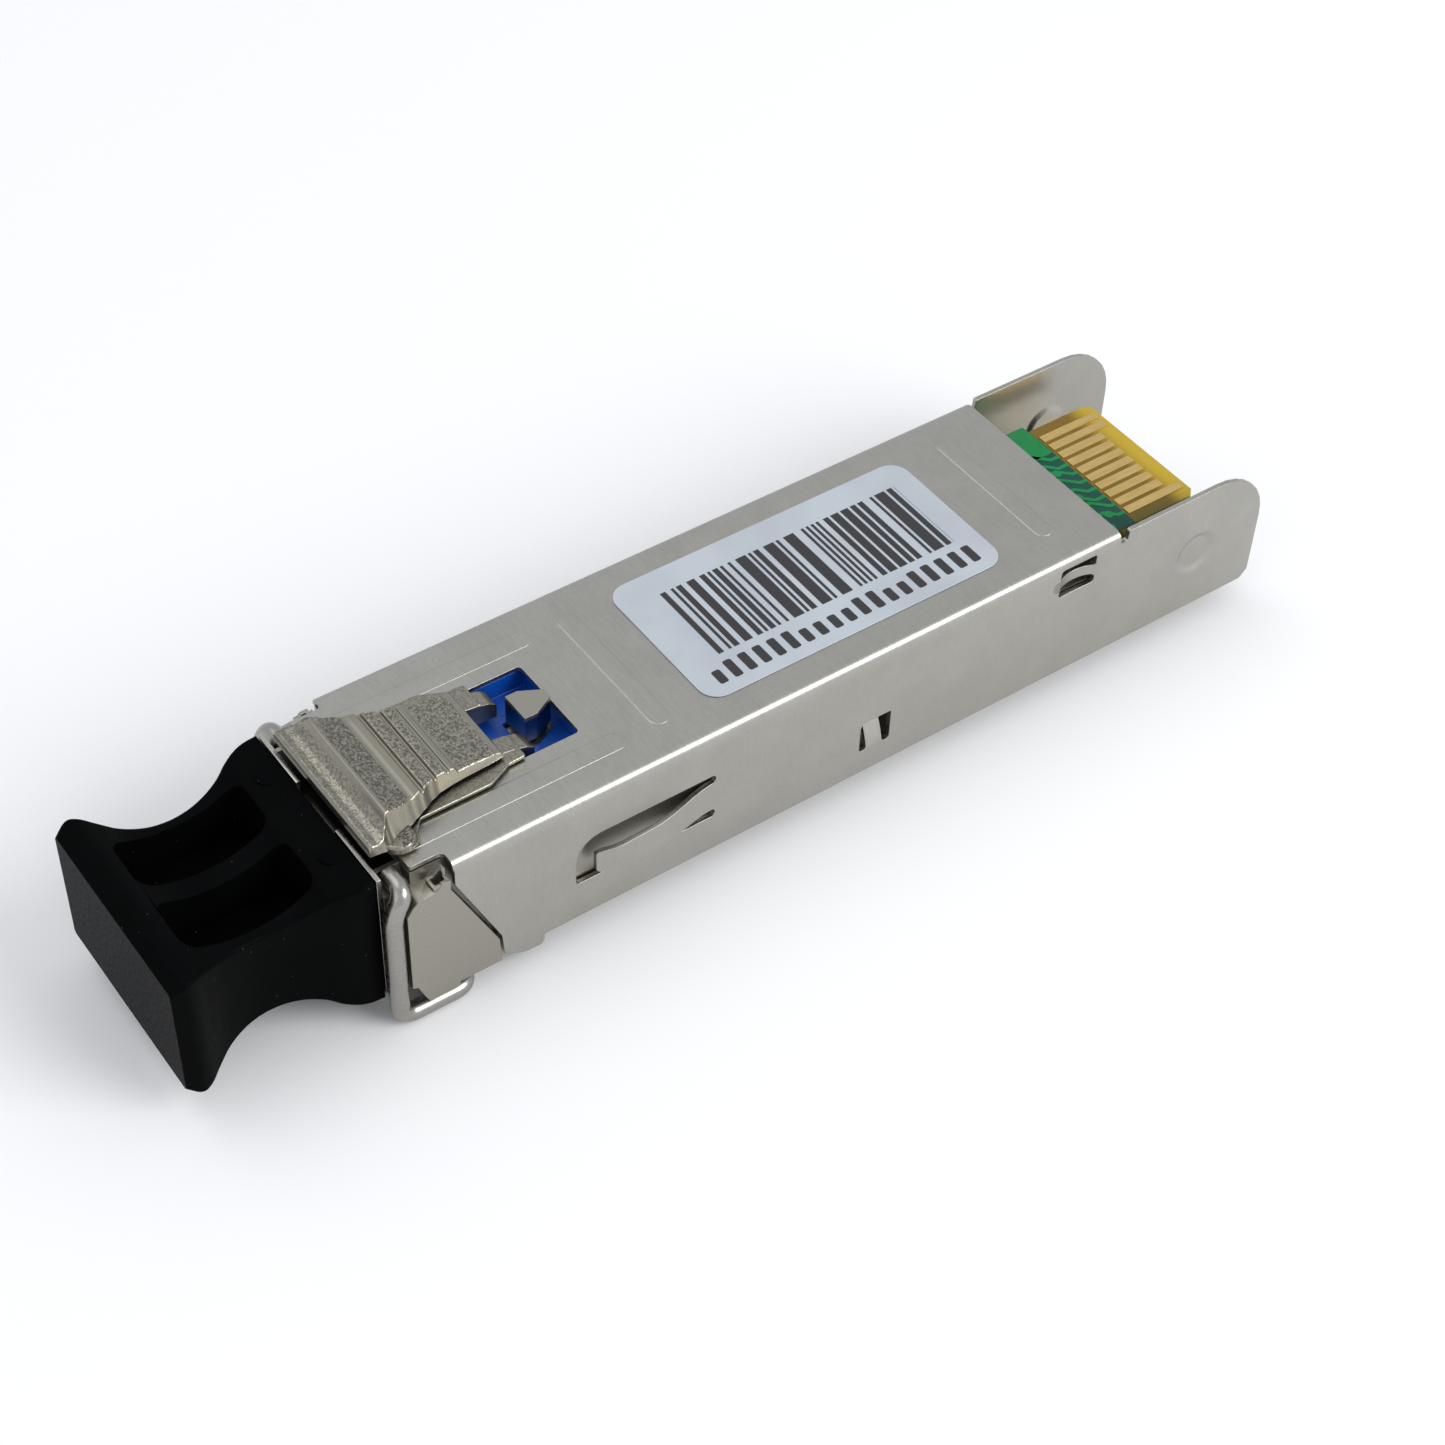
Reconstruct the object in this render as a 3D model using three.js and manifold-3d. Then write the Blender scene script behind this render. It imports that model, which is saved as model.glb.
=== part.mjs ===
// Pluggable optical transceiver: a die-cast base and nose under a folded steel cover, a wire bail that
// drives the latch actuator, the optics and circuit board inside, and a dust plug in the duplex port.
// Millimetres, +Z up. The latch side is +Z, the port end is -Y and the edge connector is +Y.
// The origin lies on the flat underside, below the latch shoulder.
import * as THREE from 'three';
import { mergeVertices } from 'three/addons/utils/BufferGeometryUtils.js';
import Module from 'manifold-3d';

const wasm = await Module();
wasm.setup();

// ---- driving dimensions ----
const moduleWidth = 13.4;
const moduleHeight = 8.5;
const sheet = 0.3;
const bendRadius = 0.5;
const looseFit = 0.1;
const wallGap = 0.05;

const coverFront = -9.55;
const coverRear = 45;
const bayLength = 10.8;
const cornerNotchRear = -7.75;
const cornerNotchInset = 0.9;
const sideFootFront = -5.1;
const sideFrontDrop = 1.6;
const earRadius = 3.8;
const earRelief = 0.5;
const footChamfer = 0.4;
const stopLipDepth = 0.65;
const stopLipLength = 2.3;
const stopShoulder = -2.75;

const windowHalf = 2.75;
const windowFront = -2.15;
const windowRear = 2.0;

const fingerWindow = { front: -0.8, rear: 7.6, low: 2.5, high: 5.5 };
const fingerTip = 0.1;
const fingerBulge = 0.5;
const fingerSlot = 0.5;
const lanceSlit = 0.35;
const hookLance = { front: 16.95, rear: 18.85, low: 1.65, high: 3.7 };
const bridgeLance = { front: 30.1, rear: 32.5, low: 6.35, high: 7.8 };

const noseFlare = 0.15;
const noseFront = -11.0;
const noseRear = -5.0;
const noseCoreInset = 0.95;
const noseBottom = -0.1;
const cheekSetback = 0.6;
const cheekFoot = -0.4;
const cheekRoot = 0.5;
const floorThickness = 1.0;
const trayWall = 0.9;
const baseSetback = 0.4;
const rearSkirtHeight = 2.2;
const deckDrop = 1.9;
const deckThickness = 0.65;
const deckRear = 2.9;
const weldSink = 0.2;

const portPitch = 6.25;
const portWidth = 4.6;
const portHeight = 5.1;
const portCorner = 0.3;
const portAxisZ = 3.9;
const portAxisRise = 0.25;

const bossWidth = 1.86;
const bossLength = 1.9;
const bossProud = 0.45;
const bossFit = 0.12;
const bossStep = 0.15;

const bezelThickness = 0.25;
const bezelProud = 0.1;
const bezelBottom = 0.3;
const bezelNotchHalf = 1.86;
const bezelNotchDepth = 1.2;

const wireDiameter = 1.0;
const pivotSetback = 0.7;
const pivotDrop = 0.6;
const pivotDepth = 0.8;
const pivotClearance = 0.15;
const legClearance = 0.25;
const legRise = 1.3;
const crossbarSetback = 3.3;
const wireBend = 0.95;

const actuatorHalf = 4.7;
const actuatorNeckHalf = 2.6;
const actuatorEndGap = 0.05;
const actuatorFoot = 0.13;
const ribGroove = 0.15;
const actuatorRibs = [
  { start: 3.35, end: 3.7, top: 1.2 },
  { start: 4.0, end: 4.6, top: 1.15 },
  { start: 4.9, end: 5.35, top: 1.1 },
];
const slabThickness = 0.22;
const slabHalf = 3.6;
const tineInner = 1.2;
const tineOuter = 2.35;
const tineTip = -0.3;
const tineReach = 1.0;

const insertWall = 0.3;
const insertFloor = 0.3;

const labelFront = 8.5;
const labelLength = 19.2;
const labelWidth = 9.6;
const labelThickness = 0.1;
const labelCorner = 1.1;

const boardFront = 9.3;
const boardSetback = 3.2;
const boardThickness = 1.0;
const boardFaceDrop = 2.25;
const boardTongue = 9.2;
const boardChamfer = 0.4;
const shelfLength = 2.5;
const contactCount = 10;
const contactPitch = 0.8;
const contactWidth = 0.55;
const contactLength = 3.2;
const contactSetback = 1.1;
const longContactSetback = 0.3;
const contactThickness = 0.05;
const flexWidth = 3.0;
const flexThickness = 0.15;
const flexLanding = 1.4;

const barrelRadius = 1.25;
const barrelReach = 3.2;
const flangeRadius = 1.6;
const sleeveBore = 0.625;
const sleeveWall = 0.2;
const sleeveLength = 2.8;
const sleeveFit = 0.02;
const canRadius = 1.9;
const canRim = 0.1;
const canRimLength = 1.0;
const canLength = 4.5;
const canFaceRadius = 1.0;
const holderFront = -4.8;
const holderRear = -1.0;
const holderSideGap = 0.2;
const clampThickness = 0.35;
const screwRadius = 0.4;
const screwLength = 3.2;
const screwHeadRadius = 0.75;
const screwHeadHeight = 0.5;

const plugShoulderGap = 0.1;
const plugLength = 10.8;
const plugProud = 0.1;
const plugFingerStandoff = 0.5;
const plugFingerFit = 0.15;
const plugFingerCorner = 0.4;
const plugBoreRadius = 1.5;
const plugBoreStart = 0.8;
const plugWeb = 0.7;
const plugPocketWidth = 3.3;
const plugPocketFront = 1.9;
const plugPocketRear = 2.0;
const plugRib = 1.2;

const buried = 1;
const processor = { x: 0, y: boardFront + 12.2, size: 5, pad: 1.05 };

// ---- values worked out from them ----
const half = moduleWidth / 2;
const insideHalf = half - sheet;
const insideTop = moduleHeight - sheet;
const castTop = insideTop - looseFit;
const baseHalf = insideHalf - looseFit;
const trayInner = baseHalf - trayWall;
const coverTopRear = coverRear - bayLength;
const baseRear = coverRear - baseSetback;
const deckTop = moduleHeight - deckDrop;
const deckBottom = deckTop - deckThickness;
const noseHalf = half + noseFlare;
const noseCoreHalf = half - noseCoreInset;
const cheekFront = noseFront + cheekSetback;
const boardTop = moduleHeight - boardFaceDrop;
const boardBottom = boardTop - boardThickness;
const boardRear = coverRear - boardSetback;
const portX = portPitch / 2;
const portBottom = portAxisZ - portAxisRise - portHeight / 2;
const portTop = portBottom + portHeight;
const bezelTop = moduleHeight + bezelProud;
const bezelFront = noseFront - wallGap - bezelThickness;
const wireRadius = wireDiameter / 2;
const pivotY = noseFront + pivotSetback;
const pivotZ = moduleHeight - pivotDrop;
const pivotSeat = pivotZ - wireRadius - pivotClearance;
const pivotInner = noseCoreHalf - pivotDepth;
const bailHalf = noseCoreHalf + legClearance + wireRadius;
const bailLegY = cheekFront - looseFit - wireRadius;
const bailFootZ = cheekFoot - looseFit - wireRadius;
const bailCrossY = pivotY + crossbarSetback;
const bossStepTop = deckTop + 2 * insertFloor;
const slabBottom = moduleHeight + looseFit;
const slabTop = slabBottom + slabThickness;
const actuatorFront = noseFront + actuatorEndGap;
const actuatorRear = windowFront - actuatorEndGap;
const clampFront = holderRear + wallGap;
const clampRear = clampFront + clampThickness;
const canFront = clampRear + wallGap;
const canRear = canFront + canLength;
const plugShoulder = bezelFront - plugShoulderGap;
const plugFront = plugShoulder - plugLength;
const plugHalfHeight = moduleHeight / 2 + plugProud;
const plugHalfWidth = noseCoreHalf + wallGap;
const plugMiddleZ = moduleHeight / 2 + wallGap;

// ---- shape helpers ----
const axisX = new THREE.Vector3(1, 0, 0);
const axisY = new THREE.Vector3(0, 1, 0);
const axisZ = new THREE.Vector3(0, 0, 1);

function toSolid(geometry) {
  const bare = geometry.clone();
  bare.deleteAttribute('normal');
  bare.deleteAttribute('uv');
  const merged = mergeVertices(bare);
  const vertProperties = new Float32Array(merged.attributes.position.array);
  const triVerts = new Uint32Array(merged.index.array);
  return new wasm.Manifold(new wasm.Mesh({ numProp: 3, vertProperties, triVerts }));
}

function toGeometry(solid) {
  const mesh = solid.getMesh();
  const geometry = new THREE.BufferGeometry();
  geometry.setAttribute('position', new THREE.BufferAttribute(mesh.vertProperties, 3));
  geometry.setIndex(new THREE.BufferAttribute(mesh.triVerts, 1));
  geometry.computeVertexNormals();
  return geometry;
}

function box(x0, x1, y0, y1, z0, z1) {
  const geometry = new THREE.BoxGeometry(x1 - x0, y1 - y0, z1 - z0);
  geometry.translate((x0 + x1) / 2, (y0 + y1) / 2, (z0 + z1) / 2);
  return toSolid(geometry);
}

function prism(shape, depth, basis, origin, curveSegments) {
  const geometry = new THREE.ExtrudeGeometry(shape, { depth, bevelEnabled: false, curveSegments });
  geometry.applyMatrix4(basis);
  geometry.translate(origin.x, origin.y, origin.z);
  return toSolid(geometry);
}

function shapeOf(points) {
  return new THREE.Shape(points.map(([u, v]) => new THREE.Vector2(u, v)));
}

// An (x, y) outline raised from z0 to z1.
function prismZ(shape, z0, z1, segments = 3) {
  return prism(shape, z1 - z0, new THREE.Matrix4(), new THREE.Vector3(0, 0, z0), segments);
}

// A (y, z) outline carried from x0 to x1.
function prismX(shape, x0, x1, segments = 3) {
  const basis = new THREE.Matrix4().makeBasis(axisY, axisZ, axisX);
  return prism(shape, x1 - x0, basis, new THREE.Vector3(x0, 0, 0), segments);
}

// An (x, z) outline carried from y0 to y1.
function prismY(shape, y0, y1, segments = 3) {
  const basis = new THREE.Matrix4().makeBasis(axisX, axisZ, axisY.clone().negate());
  return prism(shape, y1 - y0, basis, new THREE.Vector3(0, y1, 0), segments);
}

function roundedRect(u0, u1, v0, v1, radius) {
  const shape = new THREE.Shape();
  shape.moveTo(u0 + radius, v0);
  shape.lineTo(u1 - radius, v0);
  shape.absarc(u1 - radius, v0 + radius, radius, -Math.PI / 2, 0);
  shape.lineTo(u1, v1 - radius);
  shape.absarc(u1 - radius, v1 - radius, radius, 0, Math.PI / 2);
  shape.lineTo(u0 + radius, v1);
  shape.absarc(u0 + radius, v1 - radius, radius, Math.PI / 2, Math.PI);
  shape.lineTo(u0, v0 + radius);
  shape.absarc(u0 + radius, v0 + radius, radius, Math.PI, 1.5 * Math.PI);
  return shape;
}

function lathe(points, x, z, sides = 24) {
  const geometry = new THREE.LatheGeometry(points.map(([r, y]) => new THREE.Vector2(r, y)), sides);
  geometry.translate(x, 0, z);
  return toSolid(geometry);
}

function rodY(radius, y0, y1, x, z) {
  return lathe([[0, y0], [radius, y0], [radius, y1], [0, y1]], x, z);
}

function tubeY(outer, inner, y0, y1, x, z) {
  return lathe([[inner, y0], [outer, y0], [outer, y1], [inner, y1], [inner, y0]], x, z);
}

function union(parts) {
  return parts.reduce((sum, part) => sum.add(part));
}

// The solid joined to its reflection across the centre plane; each reflected triangle is turned round.
function mirrored(solid) {
  const reflection = toGeometry(solid);
  reflection.scale(-1, 1, 1);
  const corners = reflection.index.array;
  for (let i = 0; i < corners.length; i += 3) {
    [corners[i], corners[i + 1]] = [corners[i + 1], corners[i]];
  }
  return solid.add(toSolid(reflection));
}

// ---- material helper and the assembly ----
const module = new THREE.Group();
const bail = new THREE.Group();
const actuator = new THREE.Group();
const plug = new THREE.Group();

function material(color, roughness, metalness) {
  return new THREE.MeshStandardMaterial({ color, roughness, metalness });
}

function addPart(group, name, solid, look) {
  const mesh = new THREE.Mesh(toGeometry(solid), look);
  mesh.name = name;
  group.add(mesh);
}

// ---- steel cover ----
function coverSection() {
  const shape = new THREE.Shape();
  const low = -stopLipDepth - sheet;
  const outer = bendRadius;
  const inner = bendRadius - sheet;
  shape.moveTo(half, low);
  shape.lineTo(half, moduleHeight - outer);
  shape.absarc(half - outer, moduleHeight - outer, outer, 0, Math.PI / 2);
  shape.lineTo(-half + outer, moduleHeight);
  shape.absarc(-half + outer, moduleHeight - outer, outer, Math.PI / 2, Math.PI);
  shape.lineTo(-half, low);
  shape.lineTo(-insideHalf, low);
  shape.lineTo(-insideHalf, insideTop - inner);
  shape.absarc(-insideHalf + inner, insideTop - inner, inner, Math.PI, Math.PI / 2, true);
  shape.lineTo(insideHalf - inner, insideTop);
  shape.absarc(insideHalf - inner, insideTop - inner, inner, Math.PI / 2, 0, true);
  shape.lineTo(insideHalf, low);
  return shape;
}

// The side wall seen square on: slanted front, stop lip under the edge and rounded rear ear.
function coverSideOutline() {
  const shape = new THREE.Shape();
  const over = moduleHeight + buried;
  const lipFront = stopShoulder - stopLipLength;
  shape.moveTo(coverFront, over);
  shape.lineTo(coverFront, castTop);
  shape.lineTo(cornerNotchRear, castTop);
  shape.lineTo(cornerNotchRear, moduleHeight - sideFrontDrop);
  shape.lineTo(sideFootFront - 0.1, 1.5);
  shape.lineTo(sideFootFront, 0);
  const lipMiddle = lipFront + stopLipLength / 2;
  shape.quadraticCurveTo(lipMiddle, -stopLipDepth - 0.1, stopShoulder, -stopLipDepth + 0.15);
  shape.lineTo(stopShoulder, 0);
  shape.lineTo(coverRear - footChamfer, 0);
  shape.lineTo(coverRear, 1.5 * footChamfer);
  shape.lineTo(coverRear, over);
  return shape;
}

function earOutline() {
  const shape = new THREE.Shape();
  const start = coverTopRear - buried;
  const corner = coverTopRear + earRelief;
  shape.moveTo(start, 0);
  shape.lineTo(coverRear - footChamfer, 0);
  shape.lineTo(coverRear, 1.5 * footChamfer);
  shape.lineTo(coverRear, moduleHeight - earRadius);
  shape.absarc(coverRear - earRadius, moduleHeight - earRadius, earRadius, 0, Math.PI / 2);
  shape.lineTo(corner, moduleHeight);
  shape.lineTo(corner, moduleHeight - bendRadius);
  shape.lineTo(start, moduleHeight - bendRadius);
  return shape;
}

// The grounding finger: a strip rooted at the rear of its window, bowed out and back in at its tip.
function groundFinger() {
  const low = fingerWindow.low + fingerSlot;
  const high = fingerWindow.high - fingerSlot;
  const root = fingerWindow.rear + weldSink;
  const reach = root - fingerTip;
  const outer = [[0, 0], [0.2, 0.05], [0.5, 0.5], [0.75, 0.95], [0.88, 1], [1, 0.6]];
  const place = ([t, s], shift) => [half - shift + s * fingerBulge, root - t * reach];
  const front = outer.map((p) => place(p, 0));
  const back = outer.map((p) => place(p, sheet)).reverse();
  return prismZ(shapeOf([...front, ...back]), low, high);
}

function slitBox({ front, rear, low, high }) {
  return box(insideHalf - buried, half + buried, front, rear, low, high);
}

function hookLanceSlits() {
  const { front, rear, low, high } = hookLance;
  return union([
    slitBox({ front, rear: front + lanceSlit, low, high }),
    slitBox({ front: rear - lanceSlit, rear, low, high }),
    slitBox({ front, rear, low: high - lanceSlit, high }),
  ]);
}

function bridgeLanceSlits() {
  const { front, rear, low, high } = bridgeLance;
  const upper = slitBox({ front, rear, low: high, high: high + lanceSlit });
  return upper.add(slitBox({ front, rear, low: low - lanceSlit, high: low }));
}

function sideCuts() {
  const { front, rear, low, high } = fingerWindow;
  const outline = roundedRect(front, rear, low, high, fingerSlot / 2);
  const window = prismX(outline, insideHalf - buried, half + buried);
  return mirrored(union([window, hookLanceSlits(), bridgeLanceSlits()]));
}

function cornerNotches() {
  const inner = half - cornerNotchInset;
  const outline = roundedRect(inner, half + buried, coverFront - buried, cornerNotchRear, looseFit);
  return mirrored(prismZ(outline, insideTop - buried, moduleHeight + buried));
}

function makeCover() {
  const folded = prismY(coverSection(), coverFront, coverRear);
  const wide = half + buried;
  const over = moduleHeight + buried;
  const trimmed = folded.intersect(prismX(coverSideOutline(), -wide, wide, 6));
  const rearBay = box(-wide, wide, coverTopRear, coverRear + buried, -buried, over);
  const latchWindow = box(-windowHalf, windowHalf, windowFront, windowRear, boardTop, over);
  const ears = mirrored(prismX(earOutline(), insideHalf, half, 12));
  const open = trimmed.subtract(rearBay).subtract(latchWindow).subtract(cornerNotches()).add(ears);
  return open.subtract(sideCuts()).add(mirrored(groundFinger()));
}

// ---- die-cast base with the nose ----
function cheekOutline() {
  const foot = sideFootFront - 0.25;
  const step = cornerNotchRear;
  const shoulder = step - 0.22;
  return shapeOf([
    [cheekFront, pivotSeat - 0.85], [cheekFront, 1.15], [cheekFront + 0.3, 1.0], [cheekFront + 0.65, 0.1],
    [cheekFront + 0.9, cheekFoot], [step, cheekFoot], [step, noseBottom], [foot, noseBottom],
    [foot - 0.07, 1.55], [shoulder, pivotSeat - 0.3], [shoulder, castTop - looseFit],
    [shoulder - 0.78, pivotSeat], [cheekFront + 0.65, pivotSeat - 0.1], [cheekFront + 0.35, pivotSeat - 0.3],
  ]);
}

function makeNose() {
  const middleHalf = pivotInner - looseFit;
  const pocketRear = pivotY + wireRadius + legClearance;
  const low = box(-noseCoreHalf, noseCoreHalf, noseFront, noseRear, noseBottom, pivotSeat);
  const middle = box(-middleHalf, middleHalf, noseFront, noseRear, noseBottom, castTop);
  const rear = box(-noseCoreHalf, noseCoreHalf, pocketRear, noseRear, noseBottom, castTop);
  const cheeks = mirrored(prismX(cheekOutline(), noseCoreHalf - cheekRoot, noseHalf));
  return union([low, middle, rear, cheeks]);
}

function portCut(x) {
  const shape = roundedRect(x - portWidth / 2, x + portWidth / 2, portBottom, portTop, portCorner);
  return prismY(shape, noseFront - buried, noseRear + buried);
}

// An open channel section: a floor with a wall of the given height on each side.
function channel(wallHeight, y0, y1) {
  const inner = trayInner;
  const section = shapeOf([
    [-baseHalf, 0], [baseHalf, 0], [baseHalf, wallHeight], [inner, wallHeight], [inner, floorThickness],
    [-inner, floorThickness], [-inner, wallHeight], [-baseHalf, wallHeight],
  ]);
  return prismY(section, y0, y1);
}

function boardShelf(y) {
  const low = floorThickness - weldSink;
  return box(boardTongue / 2, trayInner + weldSink, y, y + shelfLength, low, boardBottom);
}

function makeTray() {
  const wallRear = coverTopRear - 0.4;
  const tall = channel(castTop, noseRear - weldSink, wallRear);
  const low = channel(rearSkirtHeight, wallRear, baseRear);
  const shelves = union([boardShelf(boardFront + 1.5), boardShelf(wallRear - shelfLength - buried)]);
  return union([tall, low, mirrored(shelves)]);
}

function bossOutline(grow = 0) {
  const wide = bossWidth / 2 + grow;
  const tip = 0.3 + grow;
  const taperStart = 0.7;
  return shapeOf([
    [-wide, -grow], [wide, -grow], [wide, taperStart], [tip, bossLength + grow],
    [-tip, bossLength + grow], [-wide, taperStart],
  ]);
}

function makeBase() {
  const deckHalf = trayInner + weldSink;
  const deck = box(-deckHalf, deckHalf, noseRear - weldSink, deckRear, deckBottom, deckTop);
  const bossFoot = prismZ(bossOutline(-bossStep), deckTop - weldSink, bossStepTop + weldSink);
  const boss = prismZ(bossOutline(), bossStepTop, moduleHeight + bossProud).add(bossFoot);
  const { x, y, size, pad } = processor;
  const pedestalTop = boardBottom - pad;
  const pedestal = box(x - size / 2, x + size / 2, y - size / 2, y + size / 2,
    floorThickness - weldSink, pedestalTop);
  const body = union([makeNose(), makeTray(), deck, boss, pedestal]);
  return body.subtract(portCut(portX)).subtract(portCut(-portX));
}

// ---- front sheet around the ports ----
function makeBezel() {
  const rear = noseFront - wallGap;
  const notchLow = bezelTop - bezelNotchDepth;
  const plate = box(-noseCoreHalf, noseCoreHalf, bezelFront, rear, bezelBottom, bezelTop);
  const notch = box(-bezelNotchHalf, bezelNotchHalf, bezelFront - buried, rear + buried, notchLow,
    bezelTop + buried);
  return plate.subtract(notch).subtract(portCut(portX)).subtract(portCut(-portX));
}

// ---- coloured insert in the latch recess ----
function makeInsert() {
  const inner = windowHalf + looseFit;
  const outer = inner + insertWall;
  const front = windowFront - insertWall;
  const rear = windowRear + insertWall;
  const low = deckTop + wallGap;
  const tray = box(-outer, outer, front - insertWall, rear + insertWall, low, castTop);
  const hollow = box(-inner, inner, front, rear, low + insertFloor, moduleHeight);
  return tray.subtract(hollow).subtract(prismZ(bossOutline(bossFit), low - buried, moduleHeight));
}

// ---- circuit board and what sits on it ----
function makeBoard() {
  const wide = trayInner - looseFit;
  const tongue = boardTongue / 2;
  const step = coverTopRear - 0.7;
  const right = [[wide, boardFront], [wide, step], [tongue, step + wide - tongue],
    [tongue, boardRear - boardChamfer], [tongue - boardChamfer, boardRear]];
  const left = right.map(([x, y]) => [-x, y]).reverse();
  return prismZ(shapeOf([...right, ...left]), boardBottom, boardTop);
}

function contact(column, top, isLong) {
  const x = (column - (contactCount - 1) / 2) * contactPitch;
  const front = boardRear - contactSetback - contactLength;
  const rear = boardRear - (isLong ? longContactSetback : contactSetback);
  const z0 = top ? boardTop : boardBottom - contactThickness;
  return box(x - contactWidth / 2, x + contactWidth / 2, front, rear, z0, z0 + contactThickness);
}

function chip(x, y, width, length, height, top = true) {
  const z0 = top ? boardTop : boardBottom - height;
  return box(x - width / 2, x + width / 2, y - length / 2, y + length / 2, z0, z0 + height);
}

// A bent flexible circuit from the can's header up and back onto the board.
function makeFlex(x) {
  const t = flexThickness;
  const y0 = canRear + looseFit;
  const low = portAxisZ - canFaceRadius;
  const bend = boardTop - canFaceRadius;
  const end = boardFront + flexLanding;
  const outline = [
    [y0, low], [y0 + t, low], [y0 + t, bend], [y0 + 1.2, boardTop], [end, boardTop], [end, boardTop + t],
    [y0 + 1.1, boardTop + t], [y0, bend + 0.1],
  ];
  return prismX(shapeOf(outline), x - flexWidth / 2, x + flexWidth / 2);
}

// ---- optics ----
function makeBarrel(x) {
  const tip = holderFront - barrelReach;
  const bore = sleeveBore + sleeveWall + sleeveFit;
  const stop = tip + sleeveLength + weldSink;
  const end = holderRear;
  return lathe([[bore, tip], [barrelRadius, tip], [barrelRadius, holderFront], [flangeRadius, holderFront],
    [flangeRadius, end], [0, end], [0, stop], [bore, stop], [bore, tip]], x, portAxisZ);
}

function makeSleeve(x) {
  const tip = holderFront - barrelReach + looseFit;
  return tubeY(sleeveBore + sleeveWall, sleeveBore, tip, tip + sleeveLength, x, portAxisZ);
}

function makeStub(x) {
  const end = holderFront - barrelReach + sleeveLength + wallGap;
  return rodY(sleeveBore - sleeveFit, end - 1.2, end, x, portAxisZ);
}

function makeCan(x) {
  const rim = canRear - canRimLength;
  const wide = canRadius + canRim;
  return lathe([[0, canFront], [canRadius, canFront], [canRadius, rim], [wide, rim], [wide, canRear],
    [0, canRear]], x, portAxisZ);
}

function makeHolder() {
  const wide = trayInner - holderSideGap;
  const top = deckBottom - wallGap;
  const block = box(-wide, wide, holderFront, holderRear, floorThickness + wallGap, top);
  const bores = [portX, -portX].map(
    (x) => rodY(flangeRadius + wallGap, holderFront - buried, holderRear + buried, x, portAxisZ));
  const holeFront = clampRear - screwLength - looseFit;
  const screwHole = rodY(screwRadius + wallGap, holeFront, holderRear + buried, 0, portAxisZ);
  return block.subtract(union([...bores, screwHole]));
}

function makeClamp() {
  const wide = trayInner - holderSideGap - looseFit;
  const top = deckBottom - 2 * wallGap;
  const plate = box(-wide, wide, clampFront, clampRear, floorThickness + wallGap, top);
  const hole = (x, radius) => rodY(radius, clampFront - buried, clampRear + buried, x, portAxisZ);
  const eyes = [portX, -portX].map((x) => hole(x, canFaceRadius));
  return plate.subtract(union([...eyes, hole(0, screwRadius + looseFit)]));
}

function makeScrew() {
  const tip = clampRear - screwLength;
  const head = clampRear + screwHeadHeight;
  return lathe([[0, tip], [screwRadius, tip], [screwRadius, clampRear], [screwHeadRadius, clampRear],
    [screwHeadRadius, head], [0, head]], 0, portAxisZ);
}

// ---- wire bail ----
function filletPath(corners, radius) {
  const almostHalf = 0.48;
  const path = new THREE.CurvePath();
  let from = corners[0];
  for (let i = 1; i < corners.length - 1; i += 1) {
    const corner = corners[i];
    const back = corner.clone().sub(corners[i - 1]);
    const ahead = corners[i + 1].clone().sub(corner);
    const cut = Math.min(radius, back.length() * almostHalf, ahead.length() * almostHalf);
    const enter = corner.clone().sub(back.setLength(cut));
    const leave = corner.clone().add(ahead.setLength(cut));
    path.add(new THREE.LineCurve3(from, enter));
    path.add(new THREE.QuadraticBezierCurve3(enter, corner, leave));
    from = leave;
  }
  path.add(new THREE.LineCurve3(from, corners[corners.length - 1]));
  return path;
}

function makeBail() {
  const side = [
    [pivotInner, pivotY, pivotZ], [bailHalf, pivotY, pivotZ], [bailHalf, bailLegY, pivotZ - legRise],
    [bailHalf, bailLegY, bailFootZ], [bailHalf, bailCrossY, bailFootZ],
  ];
  const right = side.map(([x, y, z]) => new THREE.Vector3(x, y, z));
  const left = side.map(([x, y, z]) => new THREE.Vector3(-x, y, z)).reverse();
  const circle = new THREE.Shape();
  circle.absarc(0, 0, wireRadius, 0, 2 * Math.PI);
  const extrudePath = filletPath([...right, ...left], wireBend);
  return toSolid(new THREE.ExtrudeGeometry(circle, { steps: 150, curveSegments: 6, extrudePath }));
}

// ---- latch actuator ----
// Points of the cap's profile: a lip, a steep grip ramp, two rounded ribs and a flat rear panel.
function actuatorSideOutline() {
  const front = actuatorFront;
  const rear = actuatorRear;
  const foot = slabTop + actuatorFoot;
  const profile = [
    [front, foot], [front, foot + 0.45], [front + 0.15, foot + 0.68], [front + 0.45, foot + 0.65],
    [front + 0.8, foot + 0.75], [front + 1.15, foot + 1.1], [front + 1.45, foot + 1.54],
    [front + 3.15, foot + 1.05],
  ];
  for (const { start, end, top } of actuatorRibs) {
    profile.push([front + start, foot + top], [front + end, foot + top]);
    profile.push([front + end + ribGroove, foot + top - 1.5 * ribGroove]);
  }
  profile.push([front + 6.1, foot + 0.55], [rear - 0.5, foot + 0.42]);
  profile.push([rear - 0.1, foot + 0.25], [rear, foot]);
  return shapeOf(profile);
}

function symmetric(right) {
  const left = right.map(([x, y]) => [-x, y]).reverse();
  return shapeOf([...right, ...left]);
}

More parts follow.
